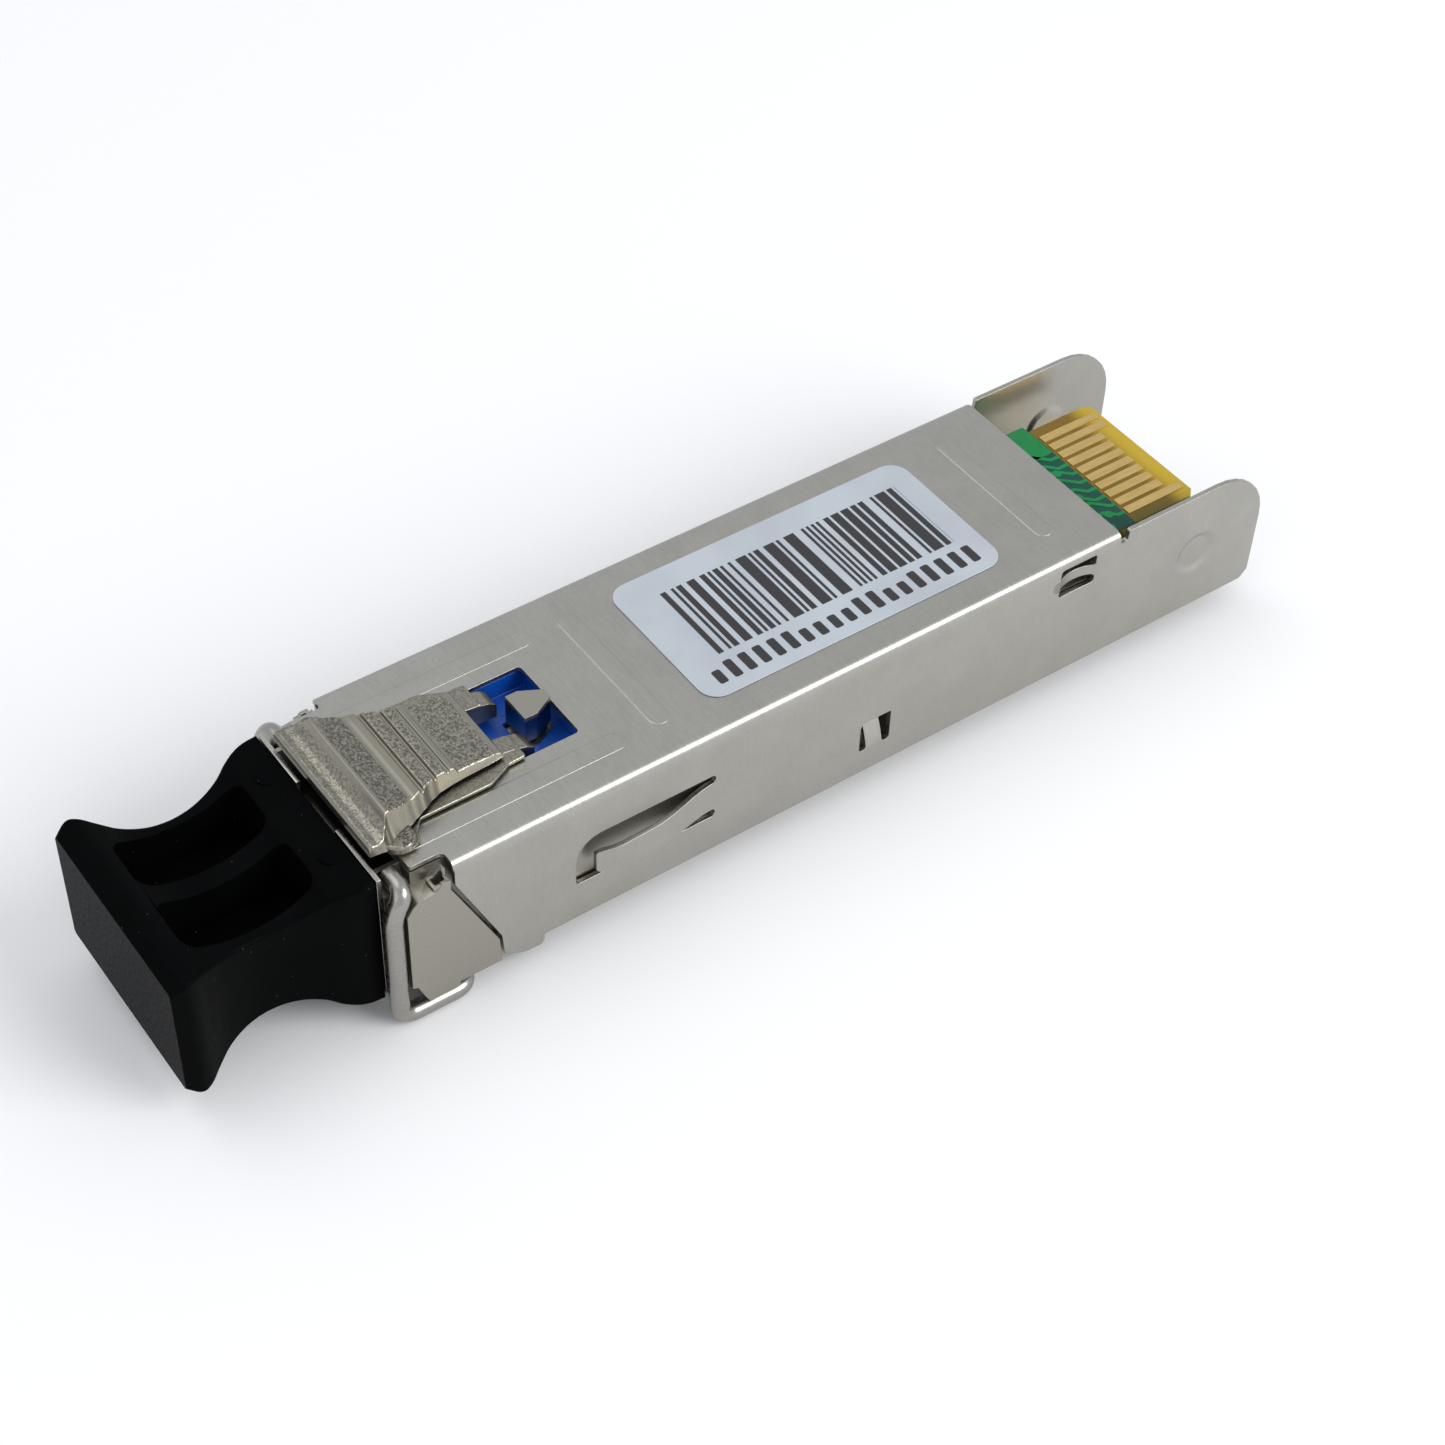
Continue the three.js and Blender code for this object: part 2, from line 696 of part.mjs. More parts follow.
function actuatorPlan() {
  const front = actuatorFront;
  const rear = actuatorRear;
  return symmetric([
    [actuatorHalf, front], [actuatorHalf, front + 0.65], [actuatorHalf - 0.4, front + 1.05],
    [actuatorHalf - 0.7, front + 1.65], [actuatorHalf - 0.75, front + 2.25],
    [actuatorHalf - 0.95, front + 2.75], [actuatorNeckHalf + 0.7, front + 3.45],
    [actuatorNeckHalf + 0.35, front + 4.35], [actuatorNeckHalf + 0.15, front + 5.35],
    [actuatorNeckHalf, front + 6.35], [actuatorNeckHalf, rear - 0.2], [actuatorNeckHalf - 0.2, rear],
  ]);
}

function slabPlan() {
  const front = actuatorFront;
  const rear = actuatorRear;
  const lobe = actuatorHalf + 0.35;
  return symmetric([
    [actuatorHalf - 0.4, front + 0.05], [actuatorHalf - 0.2, coverFront + 0.1],
    [lobe - 0.1, coverFront + 0.3], [lobe, coverFront + 0.75], [lobe - 0.3, coverFront + 1.25],
    [slabHalf + 0.6, coverFront + 1.45],
    [slabHalf, coverFront + 1.95], [slabHalf, rear - 1.4], [slabHalf - 0.5, rear - 0.3],
    [actuatorNeckHalf - 0.1, rear],
  ]);
}

function makeTine() {
  const front = windowFront + looseFit;
  const bottom = moduleHeight - tineReach;
  const bridge = box(tineInner, tineOuter, actuatorRear - 0.5, front + 0.55, slabBottom, slabTop);
  const outline = shapeOf([[front, bottom], [tineTip, bottom], [tineTip, bottom + 0.85],
    [tineTip - 0.3, bottom + 1.15], [front + 0.65, slabTop], [front, slabTop]]);
  return bridge.add(prismX(outline, tineInner, tineOuter));
}

function makeActuator() {
  const capPlan = prismZ(actuatorPlan(), slabBottom - buried, slabTop + 2);
  const cap = prismX(actuatorSideOutline(), -half, half).intersect(capPlan);
  const slab = prismZ(slabPlan(), slabBottom, slabTop);
  const webHalf = actuatorNeckHalf - 0.5;
  const webTop = slabTop + 2 * actuatorFoot;
  const web = box(-webHalf, webHalf, actuatorFront + 0.35, actuatorRear - 0.3, slabBottom, webTop);
  return union([cap, slab, web, mirrored(makeTine())]);
}

// ---- dust plug ----
// Stations run from the flange to the shoulder; rise and spread are set against the shoulder's own size.
const plugStations = [0, 0.075, 0.17, 0.3, 0.46, 0.63, 0.76, 0.87, 1];
const plugRise = [-0.75, -0.35, -0.6, -1.25, -1.55, -1.2, -0.45, -0.05, 0];
const plugSpread = [0.1, 0.35, -0.4, -0.95, -1.3, -1.05, -0.6, -0.1, 0];

// The waisted outline along Y: a straight bevelled flange, then a smooth neck back to the shoulder.
function waistOutline(offsets, shoulderHalf, centre, alongFirst) {
  const stations = plugStations.map((s) => plugFront + s * plugLength);
  const edge = stations.map((y, i) => new THREE.Vector2(y, shoulderHalf + offsets[i]));
  const curve = [edge[0], ...new THREE.SplineCurve(edge.slice(1)).getPoints(28)];
  const upper = curve.map((p) => [p.x, centre + p.y]);
  const lower = curve.map((p) => [p.x, centre - p.y]).reverse();
  const ring = [...upper, ...lower].map(([y, v]) => (alongFirst ? [y, v] : [v, y]));
  return shapeOf(ring);
}

function plugPocket(side) {
  const inner = plugRib / 2;
  const [x0, x1] = [side * inner, side * (inner + plugPocketWidth)].sort((a, b) => a - b);
  const outline = roundedRect(x0, x1, plugFront + plugPocketFront, plugShoulder - plugPocketRear, 0.5);
  const upper = prismZ(outline, plugMiddleZ + plugWeb / 2, moduleHeight + buried);
  return upper.add(prismZ(outline, -buried, plugMiddleZ - plugWeb / 2));
}

function plugFinger(x) {
  const wide = portWidth / 2 - plugFingerFit;
  const end = holderFront - plugFingerStandoff;
  const outline = roundedRect(x - wide, x + wide, portBottom + plugFingerFit, portTop - plugFingerFit,
    plugFingerCorner);
  const block = prismY(outline, plugShoulder - buried, end);
  return block.subtract(rodY(plugBoreRadius, plugShoulder + plugBoreStart, end + buried, x, portAxisZ));
}

function makePlug() {
  const side = prismX(waistOutline(plugRise, plugHalfHeight, plugMiddleZ, true), -half, half);
  const planOutline = waistOutline(plugSpread, plugHalfWidth, 0, false);
  const plan = prismZ(planOutline, -buried, moduleHeight + buried);
  const grip = side.intersect(plan).subtract(plugPocket(1)).subtract(plugPocket(-1));
  return union([grip, plugFinger(portX), plugFinger(-portX)]);
}

// ---- assembly ----
const steel = () => material(0xa8a59b, 0.35, 0.9);
const castZinc = () => material(0xb0aca0, 0.42, 0.85);
const gold = () => material(0xc2a050, 0.3, 1.0);
const chipBlack = () => material(0x1b1c1e, 0.6, 0.0);

addPart(module, 'base_casting', makeBase(), castZinc());
addPart(module, 'steel_cover', makeCover(), steel());
addPart(module, 'front_bezel', makeBezel(), steel());
addPart(module, 'latch_insert', makeInsert(), material(0x0f4fc0, 0.45, 0.0));
const labelOutline = roundedRect(-labelWidth / 2, labelWidth / 2, labelFront,
  labelFront + labelLength, labelCorner);
const labelSolid = prismZ(labelOutline, moduleHeight, moduleHeight + labelThickness);
addPart(module, 'label', labelSolid, material(0xd2d8e2, 0.5, 0.0));
addPart(module, 'circuit_board', makeBoard(), material(0x0b6b3a, 0.5, 0.0));

const longTop = [0, 1, 9];
const longBottom = [0, 3, 6, 9];
for (let column = 0; column < contactCount; column += 1) {
  const topName = `contact_${String(contactCount - column).padStart(2, '0')}`;
  const bottomName = `contact_${contactCount + 1 + column}`;
  addPart(module, topName, contact(column, true, longTop.includes(column)), gold());
  addPart(module, bottomName, contact(column, false, longBottom.includes(column)), gold());
}

const alongBoard = (distance) => boardFront + distance;
const { size: chipSize, pad: padHeight } = processor;
const padSize = chipSize - 0.4;
const processorSolid = chip(processor.x, processor.y, chipSize, chipSize, 0.9);
addPart(module, 'laser_driver', chip(-2.6, alongBoard(4.7), 3, 3, 0.85), chipBlack());
addPart(module, 'limiting_amplifier', chip(2.6, alongBoard(4.7), 3, 3, 0.85), chipBlack());
addPart(module, 'microcontroller', processorSolid, chipBlack());
addPart(module, 'memory_chip', chip(-1.8, alongBoard(18.7), 2, 3, 0.75), chipBlack());
const padSolid = chip(processor.x, processor.y, padSize, padSize, padHeight, false);
addPart(module, 'thermal_pad', padSolid, material(0x8f97a3, 0.9, 0.0));
for (const [side, x] of [['transmit', -2.2], ['receive', 2.2]]) {
  const inductor = chip(x, alongBoard(21.2), 2, 2.5, 1.2, false);
  const filter = chip(x, alongBoard(17.3), 1.2, 2, 1, false);
  const coupling = chip(x * 1.4, alongBoard(8.7), 0.8, 1.6, 0.7);
  addPart(module, `${side}_inductor`, inductor, material(0x55504a, 0.6, 0.2));
  addPart(module, `${side}_filter_capacitor`, filter, material(0xb79a6a, 0.5, 0.1));
  addPart(module, `${side}_coupling_capacitor`, coupling, material(0xb79a6a, 0.5, 0.1));
}

addPart(module, 'optics_holder', makeHolder(), material(0x2a2c30, 0.5, 0.0));
addPart(module, 'optics_clamp', makeClamp(), steel());
addPart(module, 'clamp_screw', makeScrew(), steel());
for (const [name, x] of [['transmitter', -portX], ['receiver', portX]]) {
  addPart(module, `${name}_barrel`, makeBarrel(x), steel());
  addPart(module, `${name}_sleeve`, makeSleeve(x), material(0xf2efe6, 0.3, 0.0));
  addPart(module, `${name}_fibre_stub`, makeStub(x), material(0xf7f5ee, 0.25, 0.0));
  addPart(module, `${name}_can`, makeCan(x), material(0xc9b26a, 0.3, 0.95));
  addPart(module, `${name}_flex`, makeFlex(x), material(0xb8722a, 0.5, 0.0));
}

addPart(bail, 'bail_wire', makeBail(), steel());
addPart(actuator, 'latch_actuator', makeActuator(), castZinc());
addPart(plug, 'dust_plug', makePlug(), material(0x151617, 0.55, 0.0));

const transceiver = new THREE.Group();
transceiver.add(module, bail, actuator, plug);
export default transceiver;
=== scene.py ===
import math
import random

import bmesh
import bpy
from mathutils import Matrix, Vector, geometry, kdtree


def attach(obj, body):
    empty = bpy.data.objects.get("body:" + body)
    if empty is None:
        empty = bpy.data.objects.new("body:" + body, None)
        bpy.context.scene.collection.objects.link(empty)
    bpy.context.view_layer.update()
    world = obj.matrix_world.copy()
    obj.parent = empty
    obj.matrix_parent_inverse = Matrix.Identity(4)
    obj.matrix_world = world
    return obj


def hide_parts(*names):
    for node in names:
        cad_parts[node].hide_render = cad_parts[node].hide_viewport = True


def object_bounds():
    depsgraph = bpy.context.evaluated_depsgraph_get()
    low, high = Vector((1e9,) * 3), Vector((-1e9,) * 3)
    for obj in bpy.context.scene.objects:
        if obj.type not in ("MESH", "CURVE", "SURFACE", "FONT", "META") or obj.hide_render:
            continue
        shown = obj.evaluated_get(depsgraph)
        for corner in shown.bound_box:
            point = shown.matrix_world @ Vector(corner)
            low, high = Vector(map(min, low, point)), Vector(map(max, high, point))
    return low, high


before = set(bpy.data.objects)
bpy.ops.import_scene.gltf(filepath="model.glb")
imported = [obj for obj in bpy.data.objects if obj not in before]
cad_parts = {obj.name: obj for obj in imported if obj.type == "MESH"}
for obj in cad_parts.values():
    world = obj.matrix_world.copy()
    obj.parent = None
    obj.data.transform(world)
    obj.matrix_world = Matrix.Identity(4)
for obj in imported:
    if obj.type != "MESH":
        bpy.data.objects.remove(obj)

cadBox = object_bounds()
mm = 0.001
scene = bpy.context.scene
print("frame loaded:", len(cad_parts), "nodes")


cameraView = {
    "target": (0.456, 12.588, 1.063),   # mm, the point the camera looks at
    "azimuth": 52.8,
    "elevation": 45.9,
    "roll": 2.48,
    "distance": 147.0,
    "lens": 68.6,
}


def makeCamera(view):
    a, e, roll = (math.radians(view[key]) for key in ("azimuth", "elevation", "roll"))
    back = Vector((math.sin(a) * math.cos(e), -math.cos(a) * math.cos(e), math.sin(e)))
    right = Vector((math.cos(a), math.sin(a), 0))
    up = back.cross(right)
    side = right * math.cos(roll) + up * math.sin(roll)
    over = up * math.cos(roll) - right * math.sin(roll)
    data = bpy.data.cameras.new("camera")
    data.lens = view["lens"]
    data.sensor_width = 36
    data.clip_start, data.clip_end = 0.005, 10
    camera = bpy.data.objects.new("camera", data)
    scene.collection.objects.link(camera)
    turn = Matrix((side, over, back)).transposed()
    camera.rotation_mode = "QUATERNION"
    camera.rotation_quaternion = turn.to_quaternion()
    camera.location = (Vector(view["target"]) + back * view["distance"]) * mm
    scene.camera = camera


makeCamera(cameraView)

studio = {
    "sky": (0.93, 0.95, 1.0),
    "skyStrength": 0.84,
    "floorColour": (0.80, 0.80, 0.80),
    "floorHalf": 4.0,    # metres
    "floorGap": 0.02,    # mm under the part
    # name, direction it shines from, distance in metres, size, power in watts
    "boxes": [
        ("bendLight", (0.70, 0.42, 0.57), 0.55, 0.36, 2.0),
        ("overhead", (-0.35, -0.25, 0.90), 0.80, 0.60, 1.0),
        ("frontFill", (0.15, -0.95, 0.45), 0.70, 0.45, 0.3),
    ],
}


def softBox(name, direction, distance, size, power):
    data = bpy.data.lights.new(name, "AREA")
    data.shape = "DISK"
    data.size = size
    data.energy = power
    lamp = bpy.data.objects.new(name, data)
    aim = Vector(direction).normalized()
    lamp.location = aim * distance + Vector((0, 0.012, 0))
    lamp.rotation_mode = "QUATERNION"
    lamp.rotation_quaternion = aim.to_track_quat("Z", "Y")
    scene.collection.objects.link(lamp)


def makeStudio(setup):
    world = bpy.data.worlds.new("studio")
    world.use_nodes = True
    sky = world.node_tree.nodes["Background"]
    sky.inputs["Color"].default_value = (*setup["sky"], 1)
    sky.inputs["Strength"].default_value = setup["skyStrength"]
    scene.world = world
    scene.view_settings.view_transform = "Standard"
    for box in setup["boxes"]:
        softBox(*box)


makeStudio(studio)
print("camera and lights ready")


class Value:
    # one socket of a look's node tree, which Python arithmetic can be written on
    def __init__(self, look, socket):
        self.look = look
        self.socket = socket

    def maths(self, operation, *others):
        return self.look.node("ShaderNodeMath", {"operation": operation}, dict(enumerate((self, *others))))

    def reflected(self, operation, other):
        return self.look.node("ShaderNodeMath", {"operation": operation}, {0: other, 1: self})

    def __add__(self, other): return self.maths("ADD", other)
    def __radd__(self, other): return self.reflected("ADD", other)
    def __sub__(self, other): return self.maths("SUBTRACT", other)
    def __rsub__(self, other): return self.reflected("SUBTRACT", other)
    def __mul__(self, other): return self.maths("MULTIPLY", other)
    def __rmul__(self, other): return self.reflected("MULTIPLY", other)
    def __gt__(self, other): return self.maths("GREATER_THAN", other)
    def __lt__(self, other): return self.maths("LESS_THAN", other)

    def between(self, low, high):
        return (self > low) * (self < high)

    def ramp(self, low, high, fromValue=0.0, toValue=1.0):
        inputs = {"Value": self, "From Min": low, "From Max": high, "To Min": fromValue, "To Max": toValue}
        settings = {"interpolation_type": "SMOOTHSTEP"}
        return self.look.node("ShaderNodeMapRange", settings, inputs)


class Look:
    # a material under construction, with one principled shader
    def __init__(self, name, metallic=0.0, roughness=0.5, **constants):
        self.material = bpy.data.materials.new(name)
        self.material.use_nodes = True
        self.tree = self.material.node_tree
        self.shader = self.tree.nodes["Principled BSDF"]
        self.set("Metallic", metallic)
        self.set("Roughness", roughness)
        for key, value in constants.items():
            self.set(key, value)

    def set(self, socketName, value):
        socket = self.shader.inputs[socketName]
        if isinstance(value, Value):
            self.tree.links.new(value.socket, socket)
        elif isinstance(value, tuple) and len(value) == 3 and socket.type == "RGBA":
            socket.default_value = (*value, 1)
        else:
            socket.default_value = value

    def node(self, kind, settings=None, inputs=None, output=0):
        made = self.tree.nodes.new(kind)
        for key, value in (settings or {}).items():
            setattr(made, key, value)
        for key, value in (inputs or {}).items():
            if isinstance(value, Value):
                self.tree.links.new(value.socket, made.inputs[key])
            elif isinstance(value, tuple) and made.inputs[key].type == "RGBA":
                made.inputs[key].default_value = (*value, 1)
            else:
                made.inputs[key].default_value = value
        return Value(self, made.outputs[output])

    def place(self, stretch=(1, 1, 1)):
        # the object's own coordinates in millimetres, stretched along each axis
        spot = self.node("ShaderNodeTexCoord", output="Object")
        scale = tuple(s / mm for s in stretch)
        return self.node("ShaderNodeVectorMath", {"operation": "MULTIPLY"}, {0: spot, 1: scale})

    def axis(self, name):
        return self.node("ShaderNodeSeparateXYZ", {}, {0: self.place()}, "XYZ".index(name))

    def noise(self, scale, detail=3.0, rough=0.5, stretch=(1, 1, 1), warp=0.0):
        inputs = {"Vector": self.place(stretch), "Scale": scale, "Detail": detail, "Roughness": rough,
                  "Distortion": warp}
        return self.node("ShaderNodeTexNoise", {}, inputs)

    def cells(self, scale, output="Distance"):
        return self.node("ShaderNodeTexVoronoi", {}, {"Vector": self.place(), "Scale": scale}, output)

    def mix(self, first, second, factor):
        inputs = {0: factor, 6: first, 7: second}
        return self.node("ShaderNodeMix", {"data_type": "RGBA"}, inputs, 2)

    def bump(self, height, depth, strength=1.0, under=None):
        # depth is the height of the relief in millimetres
        inputs = {"Height": height, "Distance": depth * mm, "Strength": strength}
        if under is not None:
            inputs["Normal"] = under
        return self.node("ShaderNodeBump", {}, inputs)


def steelLook(name, colour, brush, roughness, grain):
    # plated sheet with a fine grain that runs across the strip and a faint cloudiness
    look = Look(name, metallic=1.0)
    cloud = look.noise(0.35, 3.0, 0.55)
    streak = look.noise(1.0, 4.0, 0.65, stretch=brush)
    fine = look.noise(9.0, 2.0, 0.6)
    tone = cloud.ramp(0.3, 0.7, 0.0, 0.35) + streak.ramp(0.3, 0.7, 0.0, 0.35) + fine.ramp(0.3, 0.7, 0.0, 0.3)
    darker = tuple(c * 0.84 for c in colour)
    look.set("Base Color", look.mix(darker, colour, tone))
    look.set("Roughness", streak.ramp(0.25, 0.75, roughness - 0.05, roughness + 0.06))
    relief = look.bump(streak, grain, 0.7)
    look.set("Normal", look.bump(fine, grain * 0.35, 0.7, relief))
    return look.material


def castLook(name, colour, roughness, grainSize, depth):
    # plated die casting with a fine satin grain, brighter round the latch boss, with painted shade on the
    # ledge under the latch's lip
    look = Look(name, metallic=1.0)
    grain = look.noise(1.0 / grainSize, 2.5, 0.7)
    broad = look.noise(0.5, 2.0, 0.5)
    tone = look.mix(tuple(c * 0.88 for c in colour), colour, grain.ramp(0.3, 0.62))
    across, along, height = (look.axis(letter) for letter in "XYZ")
    # painted shade: the ledge under the latch's lip is darkened in its colour as if in shadow
    paintedLedgeShade = (along < -9.7) * height.between(7.9, 8.3) * across.between(-4.6, 4.6)
    look.set("Base Color", look.mix(tone, tuple(c * 0.05 for c in colour), paintedLedgeShade))
    polished = height.between(6.9, 8.7) * across.between(-1.4, 1.4) * along.between(-0.7, 2.6)
    dull = grain.ramp(0.3, 0.7, roughness + 0.06, roughness - 0.06) + broad * 0.05
    look.set("Roughness", dull * (1.0 - polished * 0.6))
    look.set("Normal", look.bump(grain, depth, 1.0))
    return look.material


def blastedLook(name, colour, panels):
    # coarse blasted grain inside the panels with painted glints in its colour and painted shade on the steep
    # ramp panel, a finer satin grain on borders and sides
    look = Look(name, metallic=1.0)
    along, height = (look.axis(letter) for letter in "YZ")
    facing = look.node("ShaderNodeNewGeometry", {}, {}, "Normal")
    upward = look.node("ShaderNodeSeparateXYZ", {}, {0: facing}, 2).ramp(0.40, 0.62)
    rough = None
    for low, high in panels:
        band = along.ramp(low, low + 0.12) * along.ramp(high - 0.12, high, 1.0, 0.0)
        rough = band if rough is None else rough + band
    lip = along.ramp(-9.7, -9.5, 0.65, 1.0)
    mask = upward * (rough * (height > 8.95) * lip + (height < 8.95) * 0.5)
    coarse = look.noise(8.0, 2.0, 0.7)
    pits = look.cells(11.0)
    glint = look.node("ShaderNodeSeparateXYZ", {}, {0: look.cells(11.0, output="Color")}, 0)
    satin = look.noise(16.0, 2.0, 0.6)
    grain = coarse * 0.5 + pits * 0.5
    # painted shade: the grains of the steep ramp panel are pulled darker
    paintedRampShade = along.between(*panels[1]) * 0.1
    dark = tuple(c * 0.36 for c in colour)
    # painted glints: bright and dark grains are painted into the colour of the blasted panels
    sparkle = glint * 0.6 + coarse * 0.5 - paintedRampShade
    paintedGlints = look.mix(dark, tuple(c * 1.25 for c in colour), sparkle.ramp(0.15, 0.95))
    calm = look.mix(tuple(c * 0.9 for c in colour), colour, satin.ramp(0.35, 0.65))
    look.set("Base Color", look.mix(calm, paintedGlints, mask))
    look.set("Roughness", mask.ramp(0.0, 1.0, 0.33, 0.27))
    relief = satin * 0.12 * (1.0 - mask) + grain * mask
    look.set("Normal", look.bump(relief, 0.022, 1.0))
    return look.material


def plasticLook(name, colour, roughness, grain=0.004, fleck=0.0, **constants):
    # moulded plastic: a faint orange peel, and a little dust where fleck is above zero
    look = Look(name, roughness=roughness, **constants)
    peel = look.noise(5.0, 3.0, 0.55)
    cloud = look.noise(0.3, 2.0, 0.5)
    tone = look.mix(tuple(c * 0.85 for c in colour), tuple(c * 1.12 for c in colour), cloud.ramp(0.3, 0.7))
    if fleck:
        speck = look.cells(1.6)
        dust = (speck < 0.055) * (look.noise(0.8, 2.0, 0.5) > 0.5)
        tone = look.mix(tone, tuple(min(1.0, c + fleck) for c in colour), dust)
    look.set("Base Color", tone)
    look.set("Roughness", peel.ramp(0.3, 0.7, roughness - 0.05, roughness + 0.07))
    look.set("Normal", look.bump(peel, grain, 0.6))
    return look.material


def boardLook(name):
    # green solder mask with the copper showing through, and bare glass epoxy at the contacts
    look = Look(name, roughness=0.35, **{"Specular IOR Level": 0.25})
    across, along, height = (look.axis(letter) for letter in "XYZ")
    weave = look.node("ShaderNodeTexWave", {"wave_type": "BANDS", "bands_direction": "DIAGONAL"},
                      {"Vector": look.place(), "Scale": 0.9, "Distortion": 2.0, "Detail": 1.0})
    cloud = look.noise(1.2, 2.0, 0.5)
    bare = look.mix((0.17, 0.10, 0.008), (0.44, 0.30, 0.02), along.ramp(39.9, 41.4))
    bare = look.mix(bare, (0.10, 0.085, 0.01), across.ramp(2.9, 4.4) * along.ramp(40.9, 39.6) * 0.8)
    mask = look.mix((0.0, 0.045, 0.035), (0.004, 0.075, 0.045), cloud)
    top = (height > 5.2)
    uncoated = (along > 37.35) * top + (along > 41.3)
    edge = (height < 6.2) * (height > 5.3)
    core = look.mix((0.25, 0.23, 0.05), (0.42, 0.38, 0.10), weave)
    tone = look.mix(mask, bare, uncoated.maths("MINIMUM", 1.0))
    look.set("Base Color", look.mix(tone, core, edge))
    look.set("Roughness", cloud.ramp(0.3, 0.7, 0.28, 0.42))
    look.set("Normal", look.bump(weave, 0.004, 0.5))
    return look.material


def goldLook(name, roughness=0.3):
    look = Look(name, metallic=1.0)
    wear = look.noise(2.0, 3.0, 0.6, stretch=(3, 0.4, 1))
    look.set("Base Color", look.mix((0.60, 0.43, 0.155), (0.68, 0.49, 0.19), wear.ramp(0.3, 0.7)))
    look.set("Roughness", wear.ramp(0.3, 0.7, roughness - 0.06, roughness + 0.08))
    look.set("Normal", look.bump(wear, 0.003, 0.5))
    return look.material


def labelLook(name):
    look = Look(name, roughness=0.42)
    fibre = look.noise(6.0, 3.0, 0.6)
    cloud = look.noise(0.25, 2.0, 0.5)
    look.set("Base Color", look.mix((0.36, 0.39, 0.425), (0.405, 0.44, 0.475), cloud.ramp(0.3, 0.7)))
    look.set("Roughness", fibre.ramp(0.3, 0.7, 0.36, 0.48))
    look.set("Normal", look.bump(fibre, 0.003, 0.5))
    look.set("Coat Weight", 0.15)
    return look.material


def inkLook(name):
    look = Look(name, roughness=0.4)
    patch = look.noise(7.0, 3.0, 0.6)
    look.set("Base Color", look.mix((0.010, 0.010, 0.012), (0.022, 0.021, 0.022), patch))
    look.set("Roughness", patch.ramp(0.3, 0.7, 0.35, 0.5))
    return look.material


def ceramicLook(name):
    look = Look(name, roughness=0.15)
    cloud = look.noise(1.0, 2.0, 0.5)
    look.set("Base Color", look.mix((0.80, 0.78, 0.72), (0.88, 0.87, 0.83), cloud))
    look.set("Subsurface Weight", 0.1)
    return look.material


nickel = (0.42, 0.41, 0.372)
coverSteel = steelLook("coverSteel", nickel, (1.0, 9.0, 1.0), 0.34, 0.016)
bezelSteel = steelLook("bezelSteel", (0.47, 0.46, 0.42), (6.0, 1.0, 1.0), 0.26, 0.005)
innerSteel = steelLook("innerSteel", (0.50, 0.50, 0.49), (1.0, 6.0, 1.0), 0.30, 0.006)
wireSteel = steelLook("wireSteel", (0.36, 0.35, 0.32), (0.6, 0.6, 5.0), 0.28, 0.004)
castNickel = castLook("castNickel", (0.345, 0.33, 0.285), 0.36, 0.07, 0.004)
actuatorCast = blastedLook("actuatorCast", (0.30, 0.285, 0.235),
                           [(-10.9, -9.5), (-9.38, -7.92), (-7.0, -6.3), (-6.1, -5.5), (-4.78, -2.6)])
plugBlack = plasticLook("plugBlack", (0.0018, 0.0020, 0.0021), 0.36, grain=0.014, fleck=0.04,
                        **{"Specular IOR Level": 0.012})
insertBlue = plasticLook("insertBlue", (0.0, 0.072, 0.42), 0.36, grain=0.012)
holderBlack = plasticLook("holderBlack", (0.025, 0.026, 0.03), 0.5, grain=0.012)
chipBlack = plasticLook("chipBlack", (0.018, 0.018, 0.019), 0.55, grain=0.012)
padGrey = plasticLook("padGrey", (0.32, 0.34, 0.37), 0.85, grain=0.02)
ferriteGrey = plasticLook("ferriteGrey", (0.11, 0.10, 0.095), 0.6, grain=0.02)
capacitorTan = plasticLook("capacitorTan", (0.42, 0.29, 0.15), 0.45, grain=0.01)
flexAmber = plasticLook("flexAmber", (0.45, 0.19, 0.035), 0.3, grain=0.004)
boardGreen = boardLook("boardGreen")
traceGreen = plasticLook("traceGreen", (0.0, 0.19, 0.045), 0.4, grain=0.004, **{"Specular IOR Level": 0.3})
contactGold = goldLook("contactGold", 0.32)
canGold = goldLook("canGold", 0.22)
labelFilm = labelLook("labelFilm")
printInk = inkLook("printInk")
zirconia = ceramicLook("zirconia")
print("materials ready")


# the mesh tools take millimetres

def rounded(corners, steps=5):
    # (u, v, radius) corners of a closed outline; each corner with a radius becomes an arc
    ring = []
    count = len(corners)
    for i, (u, v, radius) in enumerate(corners):
        here = Vector((u, v))
        before = Vector(corners[i - 1][:2]) - here
        after = Vector(corners[(i + 1) % count][:2]) - here
        if radius <= 0 or before.length < 1e-6 or after.length < 1e-6:
            ring.append((u, v))
            continue
        a, b = before.normalized(), after.normalized()
        opening = a.angle(b)
        if opening > math.radians(178):
            ring.append((u, v))
            continue
        reach = min(radius / math.tan(opening / 2), before.length * 0.49, after.length * 0.49)
        true = reach * math.tan(opening / 2)
        centre = here + (a + b).normalized() * (true / math.sin(opening / 2))
        start = here + a * reach - centre
        end = here + b * reach - centre
        turn = start.angle(end)
        side = 1 if start.x * end.y - start.y * end.x > 0 else -1
        for k in range(steps + 1):
            spin = Matrix.Rotation(side * turn * k / steps, 2)
            point = centre + spin @ start
            ring.append((point.x, point.y))
    return ring


def circle(x, y, radius, count):
    turns = [math.tau * k / count for k in range(count)]
    return [(x + radius * math.cos(turn), y + radius * math.sin(turn)) for turn in turns]


def rectangle(x0, x1, y0, y1, corner, steps=5):
    return rounded([(x0, y0, corner), (x1, y0, corner), (x1, y1, corner), (x0, y1, corner)], steps)


def mirroredOutline(right):
    # closes a half outline, given from front to rear at positive x, with its reflection
    left = [(-x, y, *rest) for x, y, *rest in reversed(right)]
    return list(right) + left


